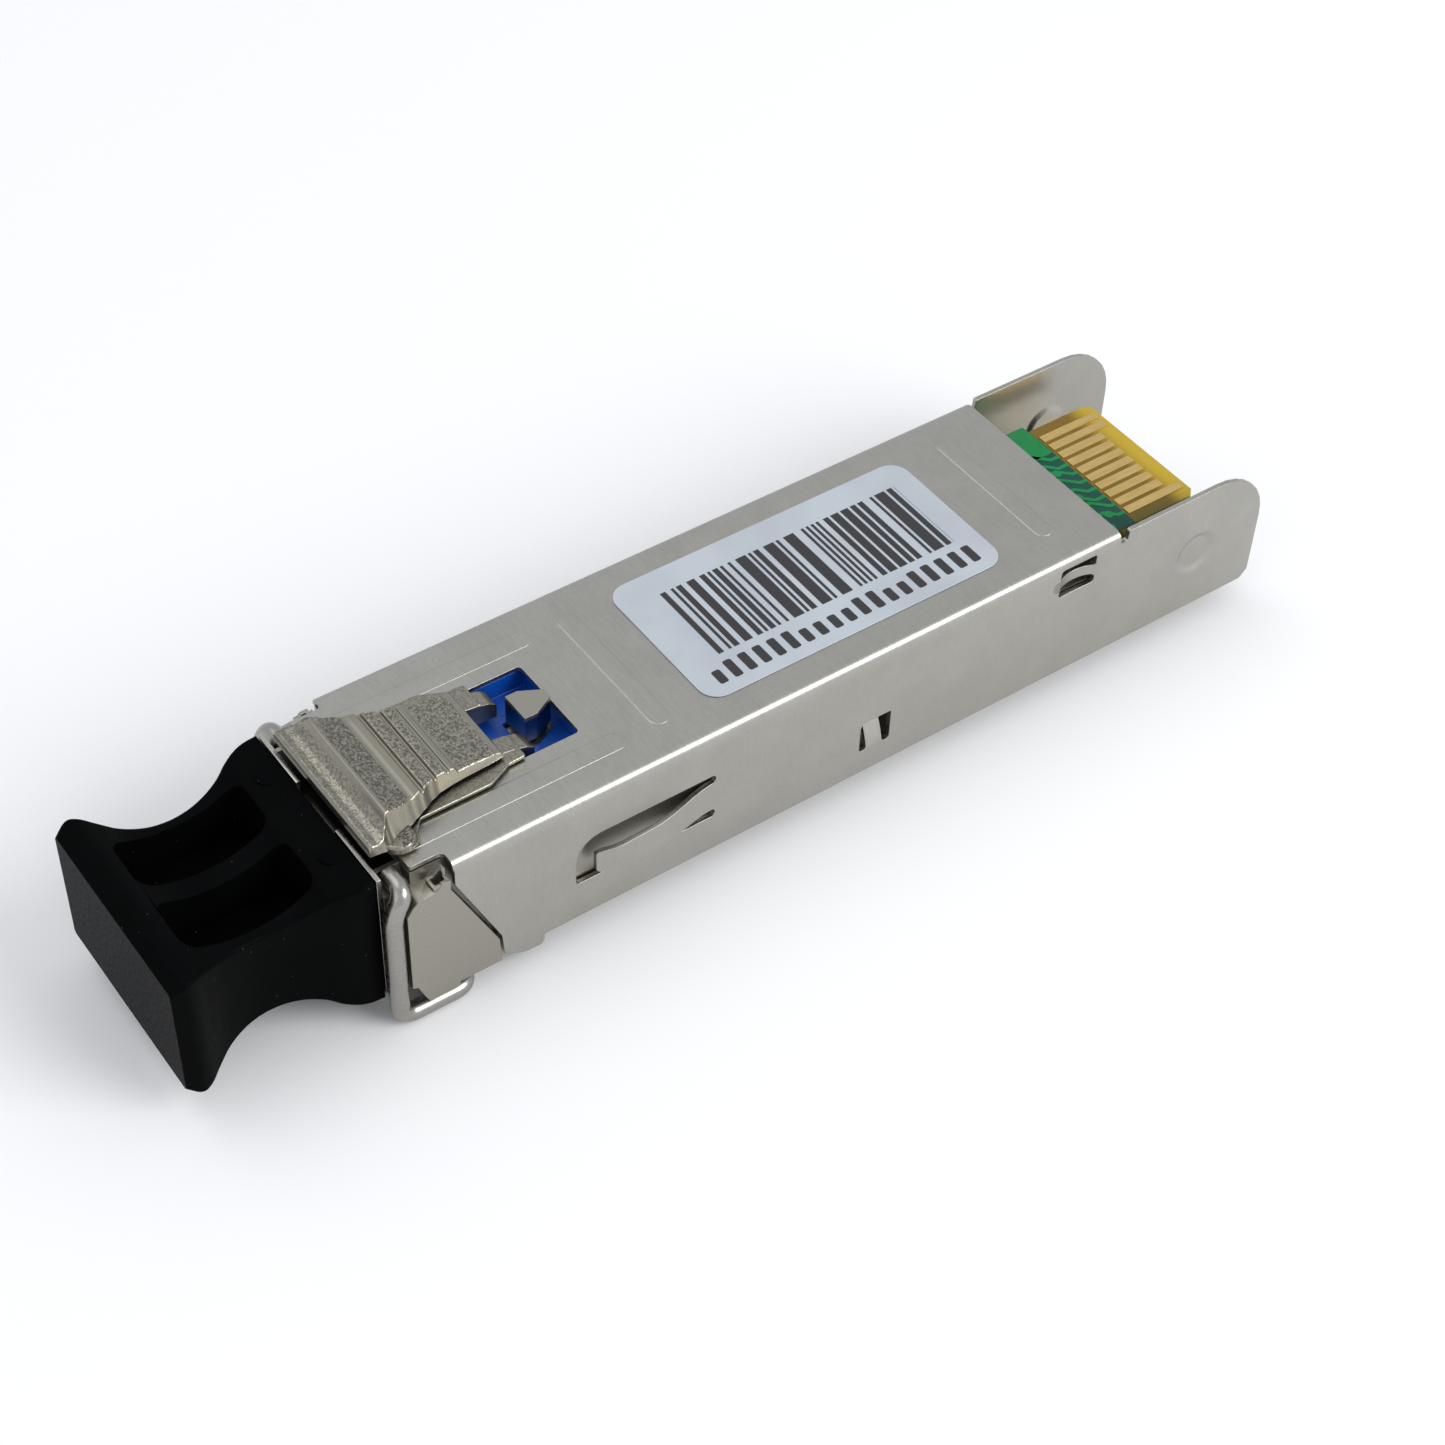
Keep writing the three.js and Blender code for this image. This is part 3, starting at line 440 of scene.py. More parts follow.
def spline(points, steps):
    # a smooth curve through 2-D points
    out = []
    for i in range(len(points) - 1):
        p0 = Vector(points[max(i - 1, 0)])
        p1, p2 = Vector(points[i]), Vector(points[i + 1])
        p3 = Vector(points[min(i + 2, len(points) - 1)])
        for k in range(steps):
            t = k / steps
            point = 0.5 * (2 * p1 + (p2 - p0) * t + (2 * p0 - 5 * p1 + 4 * p2 - p3) * t * t
                           + (3 * p1 - p0 - 3 * p2 + p3) * t ** 3)
            out.append(tuple(point))
    out.append(tuple(points[-1]))
    return out


def newObject(name, verts, faces):
    mesh = bpy.data.meshes.new(name)
    mesh.from_pydata([tuple(c * mm for c in v) for v in verts], [], faces)
    made = bpy.data.objects.new(name, mesh)
    scene.collection.objects.link(made)
    return made


def prism(name, ring, low, high, axis="Z"):
    # a closed outline carried along an axis: Z takes (x, y), X takes (y, z), Y takes (x, z)
    order = {"Z": (0, 1, 2), "X": (2, 0, 1), "Y": (0, 2, 1)}[axis]
    count = len(ring)
    verts = [tuple((u, v, w)[i] for i in order) for w in (low, high) for u, v in ring]
    faces = [tuple(reversed(range(count))), tuple(range(count, 2 * count))]
    faces += [(i, (i + 1) % count, count + (i + 1) % count, count + i) for i in range(count)]
    made = newObject(name, verts, faces)
    tidyMesh(made)
    return made


def loft(name, rings):
    # rings of equally many points, skinned in order and closed at both ends
    n = len(rings[0])
    verts = [point for ring in rings for point in ring]
    faces = []
    for i in range(len(rings) - 1):
        for k in range(n):
            m = (k + 1) % n
            faces.append((i * n + k, i * n + m, (i + 1) * n + m, (i + 1) * n + k))
    faces.append(tuple(reversed(range(n))))
    faces.append(tuple(range(len(verts) - n, len(verts))))
    return newObject(name, verts, faces)


def tidyMesh(made, reach=1e-7, thin=0.0):
    # close points become one, slivers shorter than thin go, and every face turns outward
    work = bmesh.new()
    work.from_mesh(made.data)
    bmesh.ops.remove_doubles(work, verts=work.verts, dist=reach)
    if thin:
        bmesh.ops.dissolve_degenerate(work, edges=work.edges, dist=thin)
    bmesh.ops.recalc_face_normals(work, faces=work.faces)
    work.to_mesh(made.data)
    work.free()


def blockOf(name, x0, x1, y0, y1, z0, z1, corner=0.0):
    return prism(name, rectangle(x0, x1, y0, y1, corner), z0, z1)


def bake(made):
    # the object's modifiers become its mesh
    graph = bpy.context.evaluated_depsgraph_get()
    graph.update()
    done = bpy.data.meshes.new_from_object(made.evaluated_get(graph), depsgraph=graph)
    made.modifiers.clear()
    made.data = done


def combine(base, other, operation):
    change = base.modifiers.new("combine", "BOOLEAN")
    change.operation = operation
    change.solver = "EXACT"
    change.object = other
    bake(base)
    bpy.data.objects.remove(other)


def cut(base, *tools):
    for tool in tools:
        combine(base, tool, "DIFFERENCE")


def weld(base, *others):
    for other in others:
        combine(base, other, "UNION")


def join(name, parts):
    # several separate solids as one object
    work = bmesh.new()
    for part in parts:
        work.from_mesh(part.data)
        bpy.data.objects.remove(part)
    mesh = bpy.data.meshes.new(name)
    work.to_mesh(mesh)
    work.free()
    made = bpy.data.objects.new(name, mesh)
    scene.collection.objects.link(made)
    return made


def flatten(made, angle=1.0, reach=2e-6):
    # triangles in one plane become one face again
    work = bmesh.new()
    work.from_mesh(made.data)
    bmesh.ops.remove_doubles(work, verts=work.verts, dist=reach)
    bmesh.ops.dissolve_limit(work, angle_limit=math.radians(angle), verts=work.verts, edges=work.edges)
    work.to_mesh(made.data)
    work.free()


def soften(made, width, segments=3, angle=28.0):
    # round the edges and keep flat faces flat
    edge = made.modifiers.new("edges", "BEVEL")
    edge.width = width * mm
    edge.segments = segments
    edge.limit_method = "ANGLE"
    edge.angle_limit = math.radians(angle)
    edge.miter_outer = "MITER_ARC"
    edge.use_clamp_overlap = True
    smooth(made, 50)
    steady = made.modifiers.new("normals", "WEIGHTED_NORMAL")
    steady.keep_sharp = True
    steady.weight = 60


def smooth(made, angle):
    for face in made.data.polygons:
        face.use_smooth = True
    made.data.set_sharp_from_angle(angle=math.radians(angle))


def dress(made, body, material, slot, *nodes):
    made.data.materials.clear()
    made.data.materials.append(material)
    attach(made, body)
    if nodes:
        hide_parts(*nodes)


def copyOf(node, name):
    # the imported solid's own mesh as a new object to work on
    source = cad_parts[node]
    made = bpy.data.objects.new(name, source.data.copy())
    scene.collection.objects.link(made)
    flatten(made)
    return made


def smoothStep(t):
    t = min(1.0, max(0.0, t))
    return t * t * (3 - 2 * t)


cover = {
    "half": 6.7, "top": 8.5, "bend": 0.5, "gauge": 0.3, "burr": 0.035,
    "front": -9.55, "notchRear": -7.72, "notchX": 5.75, "sideFront": -7.65, "footFront": -5.1,
    "topRear": 34.2, "rear": 45.0, "earRadius": 3.8, "relief": 0.45,
    "beadHeight": 0.04, "beadRamp": 0.07,
    # centre lines and radii of the raised beads on top: x0, y0, x1, y1, radius
    "beads": [(4.32, -8.7, 4.32, 3.0, 0.62), (-4.32, -8.7, -4.32, 3.0, 0.62),
              (-4.05, 5.83, 4.05, 5.83, 0.60), (-4.2, 30.8, 4.0, 30.8, 0.56)],
    "dimple": {"y": 40.3, "z": 4.1, "radius": 1.5, "depth": 0.17, "ramp": 0.55},
    "window": {"half": 2.74, "front": -2.15, "rear": 2.0},
    "finger": {"front": -0.8, "tip": 0.12, "root": 7.6, "low": 2.5, "high": 5.5, "slot": 0.5, "bow": 0.69,
               "taper": 0.4},
    "hook": {"front": 16.95, "rear": 18.92, "low": 1.65, "high": 3.7, "slit": 0.45, "lean": 0.75},
    "bridge": {"front": 30.05, "rear": 32.5, "low": 6.42, "high": 7.12, "slit": 0.46, "upper": 0.74,
               "sink": 0.36},
    "grid": 0.5, "bendRow": 0.35, "lap": 0.1,   # lap: this far behind the top the sheet counts as ear
}
bendArc = math.pi / 2 * cover["bend"]
flatHalf = cover["half"] - cover["bend"]


def unrolled(z):
    # distance along the section, from the centre line, of a point on the side wall
    return flatHalf + bendArc + cover["top"] - cover["bend"] - z


def coverRelief(s, y):
    # how far the sheet stands out of its plain folded shape
    side = abs(s) > flatHalf + bendArc * 0.99 or y > cover["topRear"] + cover["lap"]
    if not side:
        rise = 0.0
        for x0, y0, x1, y1, radius in cover["beads"]:
            a, b = Vector((x0, y0)), Vector((x1, y1))
            along = (b - a)
            t = max(0.0, min(1.0, (Vector((s, y)) - a).dot(along) / along.length_squared))
            gap = radius - (Vector((s, y)) - a - along * t).length
            rise = max(rise, cover["beadHeight"] * smoothStep(gap / cover["beadRamp"]))
        return rise
    z = cover["top"] - cover["bend"] - (abs(s) - flatHalf - bendArc)
    dimple, finger, hook, bridge = (cover[key] for key in ("dimple", "finger", "hook", "bridge"))
    away = math.hypot(y - dimple["y"], z - dimple["z"])
    if away < dimple["radius"]:
        return -dimple["depth"] * smoothStep((dimple["radius"] - away) / dimple["ramp"])
    middle = finger["slot"] / 2
    if finger["low"] + middle < z < finger["high"] - middle and finger["tip"] - 0.2 < y < finger["root"]:
        t = (finger["root"] - y) / (finger["root"] - finger["tip"])
        bow = smoothStep(t / 0.56)
        curl = smoothStep((t - 0.8) / 0.2) * 0.42
        return finger["bow"] * (bow - curl)
    if hook["front"] + 0.2 < y < hook["rear"] - 0.2 and hook["low"] - 0.05 < z < hook["high"] - 0.1:
        return -hook["lean"] * max(0.0, (z - hook["low"]) / (hook["high"] - hook["low"])) ** 1.4
    if bridge["front"] < y < bridge["rear"] and bridge["low"] - 0.2 < z < bridge["high"] + 0.2:
        t = (y - bridge["front"]) / (bridge["rear"] - bridge["front"])
        return -bridge["sink"] * math.sin(math.pi * t) ** 0.6
    return 0.0


def coverPoint(s, y, depth):
    side = 1 if s >= 0 else -1
    t = abs(s)
    r = cover["bend"]
    if y > cover["topRear"] + cover["lap"] or t >= flatHalf + bendArc:
        x, z, normal = cover["half"], cover["top"] - r - (t - flatHalf - bendArc), (1, 0)
    elif t <= flatHalf:
        x, z, normal = t, cover["top"], (0, 1)
    else:
        turn = (t - flatHalf) / r
        x = flatHalf + r * math.sin(turn)
        z = cover["top"] - r + r * math.cos(turn)
        normal = (math.sin(turn), math.cos(turn))
    out = coverRelief(s, y) - depth
    return Vector((side * (x + normal[0] * out), y, z + normal[1] * out))


def coverNormal(s, y):
    step = 0.004
    along = coverPoint(s, y + step, 0) - coverPoint(s, y - step, 0)
    across = coverPoint(s + step, y, 0) - coverPoint(s - step, y, 0)
    return across.cross(along).normalized()


def coverOutline():
    c = cover
    top = unrolled(c["top"])
    right = [
        (c["notchX"] - 0.1, c["front"], 0.08), (c["notchX"], c["front"] + 0.1, 0),
        (c["notchX"], c["notchRear"], 0.3),
        (flatHalf + bendArc, c["notchRear"], 0), (unrolled(7.85), c["sideFront"], 0),
        (unrolled(6.9), c["sideFront"], 0.15), (unrolled(1.5), c["footFront"] - 0.1, 0.2),
        (unrolled(0.05), c["footFront"] + 0.02, 0.1), (unrolled(-0.22), -4.75, 0.5),
        (unrolled(-0.62), -3.9, 0.9),
        (unrolled(-0.68), -2.85, 0.25), (unrolled(-0.35), -2.72, 0.15), (unrolled(0), -2.72, 0.12),
        (unrolled(0), c["rear"] - 0.5, 0.3), (unrolled(0.55), c["rear"], 0.3),
        (top, c["rear"], c["earRadius"]), (top, c["topRear"] + c["relief"] + 0.05, 0.15),
        (unrolled(7.85), c["topRear"] + c["relief"], 0.12), (unrolled(7.85), c["topRear"], 0),
        (flatHalf + bendArc, c["topRear"], 0),
    ]
    return [p[:2] for p in rounded(mirroredOutline(right), 8)]


def coverHoles():
    w, f, h, b = (cover[key] for key in ("window", "finger", "hook", "bridge"))
    holes = [rounded([(-w["half"], w["front"], 0.2), (w["half"], w["front"], 0.2),
                      (w["half"], w["rear"], 0.22), (-w["half"], w["rear"], 0.22)])]
    slot = f["slot"]
    finger = [
        (f["high"], f["front"], 1.5), (f["high"], f["root"], 0.24), (f["high"] - slot, f["root"], 0.24),
        (f["high"] - slot - f["taper"], f["tip"], 0.12), (f["low"] + slot + 0.1, f["tip"], 0.4),
        (f["low"] + slot, f["root"], 0.24),
        (f["low"], f["root"], 0.24), (f["low"], f["front"], 0.2),
    ]
    slit = h["slit"]
    hook = [
        (h["high"], h["front"], 0.35), (h["high"], h["rear"], 0.15), (h["low"], h["rear"], 0.2),
        (h["low"], h["rear"] - slit, 0.2), (h["high"] - 0.3, h["rear"] - slit, 0.05),
        (h["high"] - 0.3, h["front"] + slit, 0.3), (h["low"], h["front"] + slit, 0.2),
        (h["low"], h["front"], 0.2),
    ]
    slits = []
    for low, high in ((b["high"], b["high"] + b["upper"]), (b["low"] - b["slit"], b["low"])):
        slits.append([(high, b["front"], 0.18), (high, b["rear"], 0.18), (low, b["rear"], 0.18),
                      (low, b["front"], 0.18)])
    for corners in (finger, hook, *slits):
        ring = rounded([(unrolled(z), y, r) for z, y, r in corners])
        holes.append(ring)
        holes.append([(-s, y) for s, y in ring])
    return holes


def turned(ring, anticlockwise):
    area = sum(ring[i - 1][0] * ring[i][1] - ring[i][0] * ring[i - 1][1] for i in range(len(ring)))
    return ring if (area > 0) == anticlockwise else ring[::-1]


def densified(ring):
    # extra points, closer together round the bends, where the outline has to follow the fold
    out = []
    for i, (s, y) in enumerate(ring):
        s1, y1 = ring[(i + 1) % len(ring)]
        bent = min(abs(s), abs(s1)) < flatHalf + bendArc and max(abs(s), abs(s1)) > flatHalf - 0.01
        span = 0.1 if bent and abs(s - s1) > 0.01 else 0.35
        count = max(1, math.ceil(math.hypot(s1 - s, y1 - y) / span))
        out += [(s + (s1 - s) * k / count, y + (y1 - y) * k / count) for k in range(count)]
    return out


def insetRing(ring, amount):
    # the ring moved to its left, which is into the sheet
    out = []
    for i, here in enumerate(ring):
        p, q, r = Vector(ring[i - 1]), Vector(here), Vector(ring[(i + 1) % len(ring)])
        a, b = (q - p).normalized(), (r - q).normalized()
        left = Vector((-a.y - b.y, a.x + b.x))
        left = left.normalized() if left.length > 1e-6 else Vector((-a.y, a.x))
        stretch = min(1.6, 1 / max(0.3, left.dot(Vector((-a.y, a.x)))))
        out.append((tuple(q + left * amount * stretch), tuple(-left)))
    return out


def insideRing(point, ring):
    s, y = point
    hit = False
    for i in range(len(ring)):
        (s0, y0), (s1, y1) = ring[i - 1], ring[i]
        if (y0 > y) != (y1 > y) and s < (s1 - s0) * (y - y0) / (y1 - y0) + s0:
            hit = not hit
    return hit


def inSheet(point, rings):
    return insideRing(point, rings[0]) and not any(insideRing(point, hole) for hole in rings[1:])


def sheetFillers(loops):
    # points inside the sheet: a grid, rows along the bends, and rings round the pressed features
    points = []
    limit = unrolled(-0.8)
    row, length = cover["bendRow"], cover["rear"] - cover["front"]
    for k in range(-8, 9):
        for side in (-1, 1):
            s = side * (flatHalf + bendArc * (k + 8) / 16)
            points += [(s, cover["front"] + row * j) for j in range(int(length / row))]
    step = cover["grid"]
    for i in range(int(-limit / step), int(limit / step) + 1):
        s = i * step
        if flatHalf - 0.1 < abs(s) < flatHalf + bendArc + 0.1:
            continue
        points += [(s, cover["front"] + step * j) for j in range(1, int(length / step))]
    feature, ridges = [], []
    for x0, y0, x1, y1, radius in cover["beads"]:
        a, b = Vector((x0, y0)), Vector((x1, y1))
        along = (b - a).normalized()
        across = Vector((-along.y, along.x))
        for share in (0.0, 0.5, 1.0):
            r = radius - cover["beadRamp"] * share
            count = int((b - a).length / 0.2)
            for side in (-1, 1):
                ridges += [tuple(a.lerp(b, k / count) + across * side * r) for k in range(count + 1)]
            for k in range(1, 14):
                turn = math.pi * k / 14
                ridges.append(tuple(b + (across * math.cos(turn) + along * math.sin(turn)) * r))
                ridges.append(tuple(a + (across * math.cos(turn) - along * math.sin(turn)) * r))
    d = cover["dimple"]
    for side in (-1, 1):
        for ringNumber in range(9):
            r = d["radius"] - d["ramp"] * ringNumber / 7
            for k in range(40):
                turn = math.tau * k / 40
                feature.append((side * unrolled(d["z"] + r * math.sin(turn)), d["y"] + r * math.cos(turn)))
        for key, step in (("finger", 0.16), ("hook", 0.12), ("bridge", 0.14)):
            zone = cover[key]
            rear = zone.get("root", zone.get("rear"))
            for i in range(int((rear - zone["front"]) / step) + 2):
                for j in range(int((zone["high"] - zone["low"]) / step) + 2):
                    feature.append((side * unrolled(zone["low"] + j * step), zone["front"] + i * step))
    edge = kdtree.KDTree(sum(len(loop) for loop in loops))
    n = 0
    for loop in loops:
        for s, y in loop:
            edge.insert((s, y, 0), n)
            n += 1
    edge.balance()
    kept = []
    groups = ((ridges, 0.02), (feature, 0.07), (points, 0.16))
    taken = {gap: set() for _, gap in groups}
    for group, gap in groups:
        reach = (-1, 0, 1) if gap > 0.1 else (0,)
        for s, y in group:
            cell = (round(s / gap), round(y / gap))
            near = {(cell[0] + i, cell[1] + j) for i in reach for j in reach}
            if near & taken[gap] or edge.find((s, y, 0))[2] < gap:
                continue
            kept.append((s, y))
            for size in taken:
                taken[size].add((round(s / size), round(y / size)))
    return kept


def makeCover():
    outline = densified(turned(coverOutline(), True))
    holes = [densified(turned(hole, False)) for hole in coverHoles()]
    loops = [outline, *holes]
    insets = [insetRing(loop, cover["burr"]) for loop in loops]
    flat, edges = [], []
    for inset in insets:
        first = len(flat)
        flat += [point for point, _ in inset]
        edges += [(first + i, first + (i + 1) % len(inset)) for i in range(len(inset))]
    rimCount = len(flat)
    shrunk = [[point for point, _ in inset] for inset in insets]
    fillers = [p for p in sheetFillers(loops) if inSheet(p, shrunk)]
    flat += fillers
    found = geometry.delaunay_2d_cdt([Vector(p) for p in flat], edges, [], 0, 1e-6)
    cells, faces = found[0], found[2]
    origin = [ids[0] if ids else -1 for ids in found[3]]
    kept = []
    for face in faces:
        middle = sum((cells[i] for i in face), Vector((0, 0))) / len(face)
        if inSheet(middle, shrunk):
            kept.append(face)
    gauge, burr = cover["gauge"], cover["burr"]
    verts, normals, place = [], [], {}
    count = len(cells)
    for depth, flip in ((0, 1), (gauge, -1)):
        for cell in cells:
            verts.append(coverPoint(cell.x, cell.y, depth))
            normals.append(coverNormal(cell.x, cell.y) * flip)
    for i, source in enumerate(origin):
        place[source] = i
    allFaces = [tuple(face) for face in kept] + [tuple(reversed([i + count for i in face])) for face in kept]
    first = 0
    for loop, inset in zip(loops, insets):
        size = len(loop)
        base = len(verts)
        for depth in (burr, gauge - burr):
            for (s, y), (_, outward) in zip(loop, inset):
                verts.append(coverPoint(s, y, depth))
                near = coverPoint(s - outward[0] * 0.02, y - outward[1] * 0.02, depth)
                normals.append((verts[-1] - near).normalized())
        for i in range(size):
            j = (i + 1) % size
            a, b = place[first + i], place[first + j]
            allFaces.append((a, base + i, base + j, b))
            allFaces.append((base + i, base + size + i, base + size + j, base + j))
            allFaces.append((base + size + i, a + count, b + count, base + size + j))
        first += size
    made = newObject("steelCover", verts, allFaces)
    made.data.validate()
    for face in made.data.polygons:
        face.use_smooth = True
    made.data.normals_split_custom_set_from_vertices([tuple(n) for n in normals])
    print("cover:", len(verts), "points,", len(fillers), "inside,", rimCount, "on the rims")
    dress(made, "module", coverSteel, "cover_steel", "steel_cover")


makeCover()


label = {"front": 8.5, "length": 19.2, "half": 4.8, "corner": 1.15, "bottom": 8.5, "thickness": 0.07,
         "barsX": (-3.1, 2.2), "barsY": (10.85, 26.2), "module": 0.165, "ink": 0.012,
         "marks": 19, "marksX": (2.75, 4.05), "marksY": (9.7, 27.0), "markInset": 0.32, "markFill": 0.55,
         "sunk": 0.01, "seed": 41}


def makeLabel():
    c = label
    top = c["bottom"] + c["thickness"]
    ring = rectangle(-c["half"], c["half"], c["front"], c["front"] + c["length"], c["corner"], 10)
    film = prism("labelFilm", ring, c["bottom"], top)
    soften(film, 0.02, 2)
    dress(film, "module", labelFilm, "label_film", "label")
    ink = (top - c["sunk"], top + c["ink"])
    dice = random.Random(c["seed"])
    bars = []
    y = c["barsY"][0]
    while y < c["barsY"][1]:
        width = dice.choice((1, 1, 2, 2, 3, 4)) * c["module"]
        bars.append(blockOf("bar", *c["barsX"], y, min(y + width, c["barsY"][1]), *ink))
        y += width + dice.choice((1, 1, 2, 3)) * c["module"]
    pitch = (c["marksY"][1] - c["marksY"][0]) / c["marks"]
    for k in range(c["marks"]):
        # plain blocks of two sizes stand where a printed number would be
        x0, x1 = c["marksX"]
        inset = dice.choice((0.0, c["markInset"]))
        y = c["marksY"][0] + k * pitch
        bars.append(blockOf("mark", x0 + inset, x1, y, y + pitch * c["markFill"], *ink, 0.12))
    dress(join("labelPrint", bars), "module", printInk, "label_film")


makeLabel()
print("label ready")


nose = {
    "edge": 0.07,
    "postX": (5.95, 6.78), "postY": (-8.88, -7.97), "postFoot": 6.6, "postTop": 7.5, "postCorner": 0.14,
    "cup": 0.16, "cupDepth": 0.8, "cupCorner": 0.1,   # the hollow in each post: its wall, depth and corner
    "pocketFace": 6.3, "pocketDepth": 0.85,           # the recess behind each opening in the sheet
    "crownX": (6.35, 7.3), "crownY": (-9.3, -7.3), "crown": 7.6,
}


def makeBase():
    c, h, b = nose, cover["hook"], cover["bridge"]
    base = copyOf("base_casting", "baseCasting")
    (y0, y1), wall, top = c["postY"], c["cup"], c["postTop"]
    for side in (-1, 1):
        x0, x1 = sorted(side * x for x in c["postX"])
        post = blockOf("post", x0, x1, y0, y1, c["postFoot"], top, c["postCorner"])
        well = blockOf("well", x0 + wall, x1 - wall, y0 + wall, y1 - wall,
                       top - c["cupDepth"], top + 1, c["cupCorner"])
        weld(base, post)
        cut(base, well)
        for zone, low, high in ((h, h["low"] - 0.1, h["high"] + 0.15), (b, b["low"] - 0.5, 8.0)):
            face = c["pocketFace"] * side
            spanX = sorted((face + side * 0.2, face - side * c["pocketDepth"]))
            cut(base, blockOf("pocket", *spanX, zone["front"] - 0.1, zone["rear"] + 0.1, low, high))
        # the cheek's crown stops below the notch in the sheet
        crownX = sorted(side * x for x in c["crownX"])
        cut(base, blockOf("crown", *crownX, *c["crownY"], c["crown"], 9.0))
    flatten(base)
    soften(base, nose["edge"], 2)
    dress(base, "module", castNickel, "cast_zinc", "base_casting")


makeBase()
print("base ready")


def makeBezel():
    bezel = copyOf("front_bezel", "frontBezel")
    soften(bezel, 0.05, 2)
    dress(bezel, "module", bezelSteel, "bezel_steel", "front_bezel")


def makeInsert():
    insert = copyOf("latch_insert", "latchInsert")
    soften(insert, 0.06, 3)
    dress(insert, "module", insertBlue, "insert_blue", "latch_insert")


makeBezel()
makeInsert()
print("bezel and insert ready")


wire = {"radius": 0.5, "inner": 4.95, "half": 6.5, "pivot": (-10.3, 7.9), "legY": -11.0, "legTop": 6.6,
        "foot": -1.0, "cross": -7.0, "bend": 0.95, "chamfer": 0.12, "sides": 28, "steps": 12}


def makeBail():
    c = wire
    py, pz = c["pivot"]
    corners = [(c["inner"], py, pz), (c["half"], py, pz), (c["half"], c["legY"], c["legTop"]),
               (c["half"], c["legY"], c["foot"]), (c["half"], c["cross"], c["foot"])]
    corners += [(-x, y, z) for x, y, z in reversed(corners)]
    corners = [Vector(p) for p in corners]
    path = [corners[0]]
    for before, here, after in zip(corners, corners[1:], corners[2:]):
        back, ahead = before - here, after - here
        reach = min(c["bend"], back.length * 0.48, ahead.length * 0.48)
        a, b = here + back.normalized() * reach, here + ahead.normalized() * reach
        for k in range(c["steps"] + 1):
            t = k / c["steps"]
            path.append(a.lerp(here, t).lerp(here.lerp(b, t), t))
    path.append(corners[-1])
    path = [p for i, p in enumerate(path) if i == 0 or (p - path[i - 1]).length > 1e-4]
    heading = (path[1] - path[0]).normalized()
    frameUp = heading.orthogonal().normalized()
    rings = []
    for i, point in enumerate(path):
        ahead = path[min(i + 1, len(path) - 1)] - path[max(i - 1, 0)]
        turn = heading.rotation_difference(ahead.normalized())
        frameUp = (turn @ frameUp).normalized()
        heading = ahead.normalized()
        rings.append((point, heading, frameUp.copy(), c["radius"]))
    chamfer = c["chamfer"]
    first, last = rings[0], rings[-1]
    rings[0] = (first[0] + first[1] * chamfer, *first[1:])
    rings[-1] = (last[0] - last[1] * chamfer, *last[1:])
    rings.insert(0, (*first[:3], c["radius"] - chamfer))
    rings.append((*last[:3], c["radius"] - chamfer))
    sections = []
    for point, heading, up, radius in rings:
        side = heading.cross(up)
        sections.append([point + up * u + side * v for u, v in circle(0, 0, radius, c["sides"])])
    bail = loft("bailWire", sections)
    tidyMesh(bail)
    smooth(bail, 40)
    dress(bail, "bail", wireSteel, "wire_steel", "bail_wire")


makeBail()
print("bail ready")


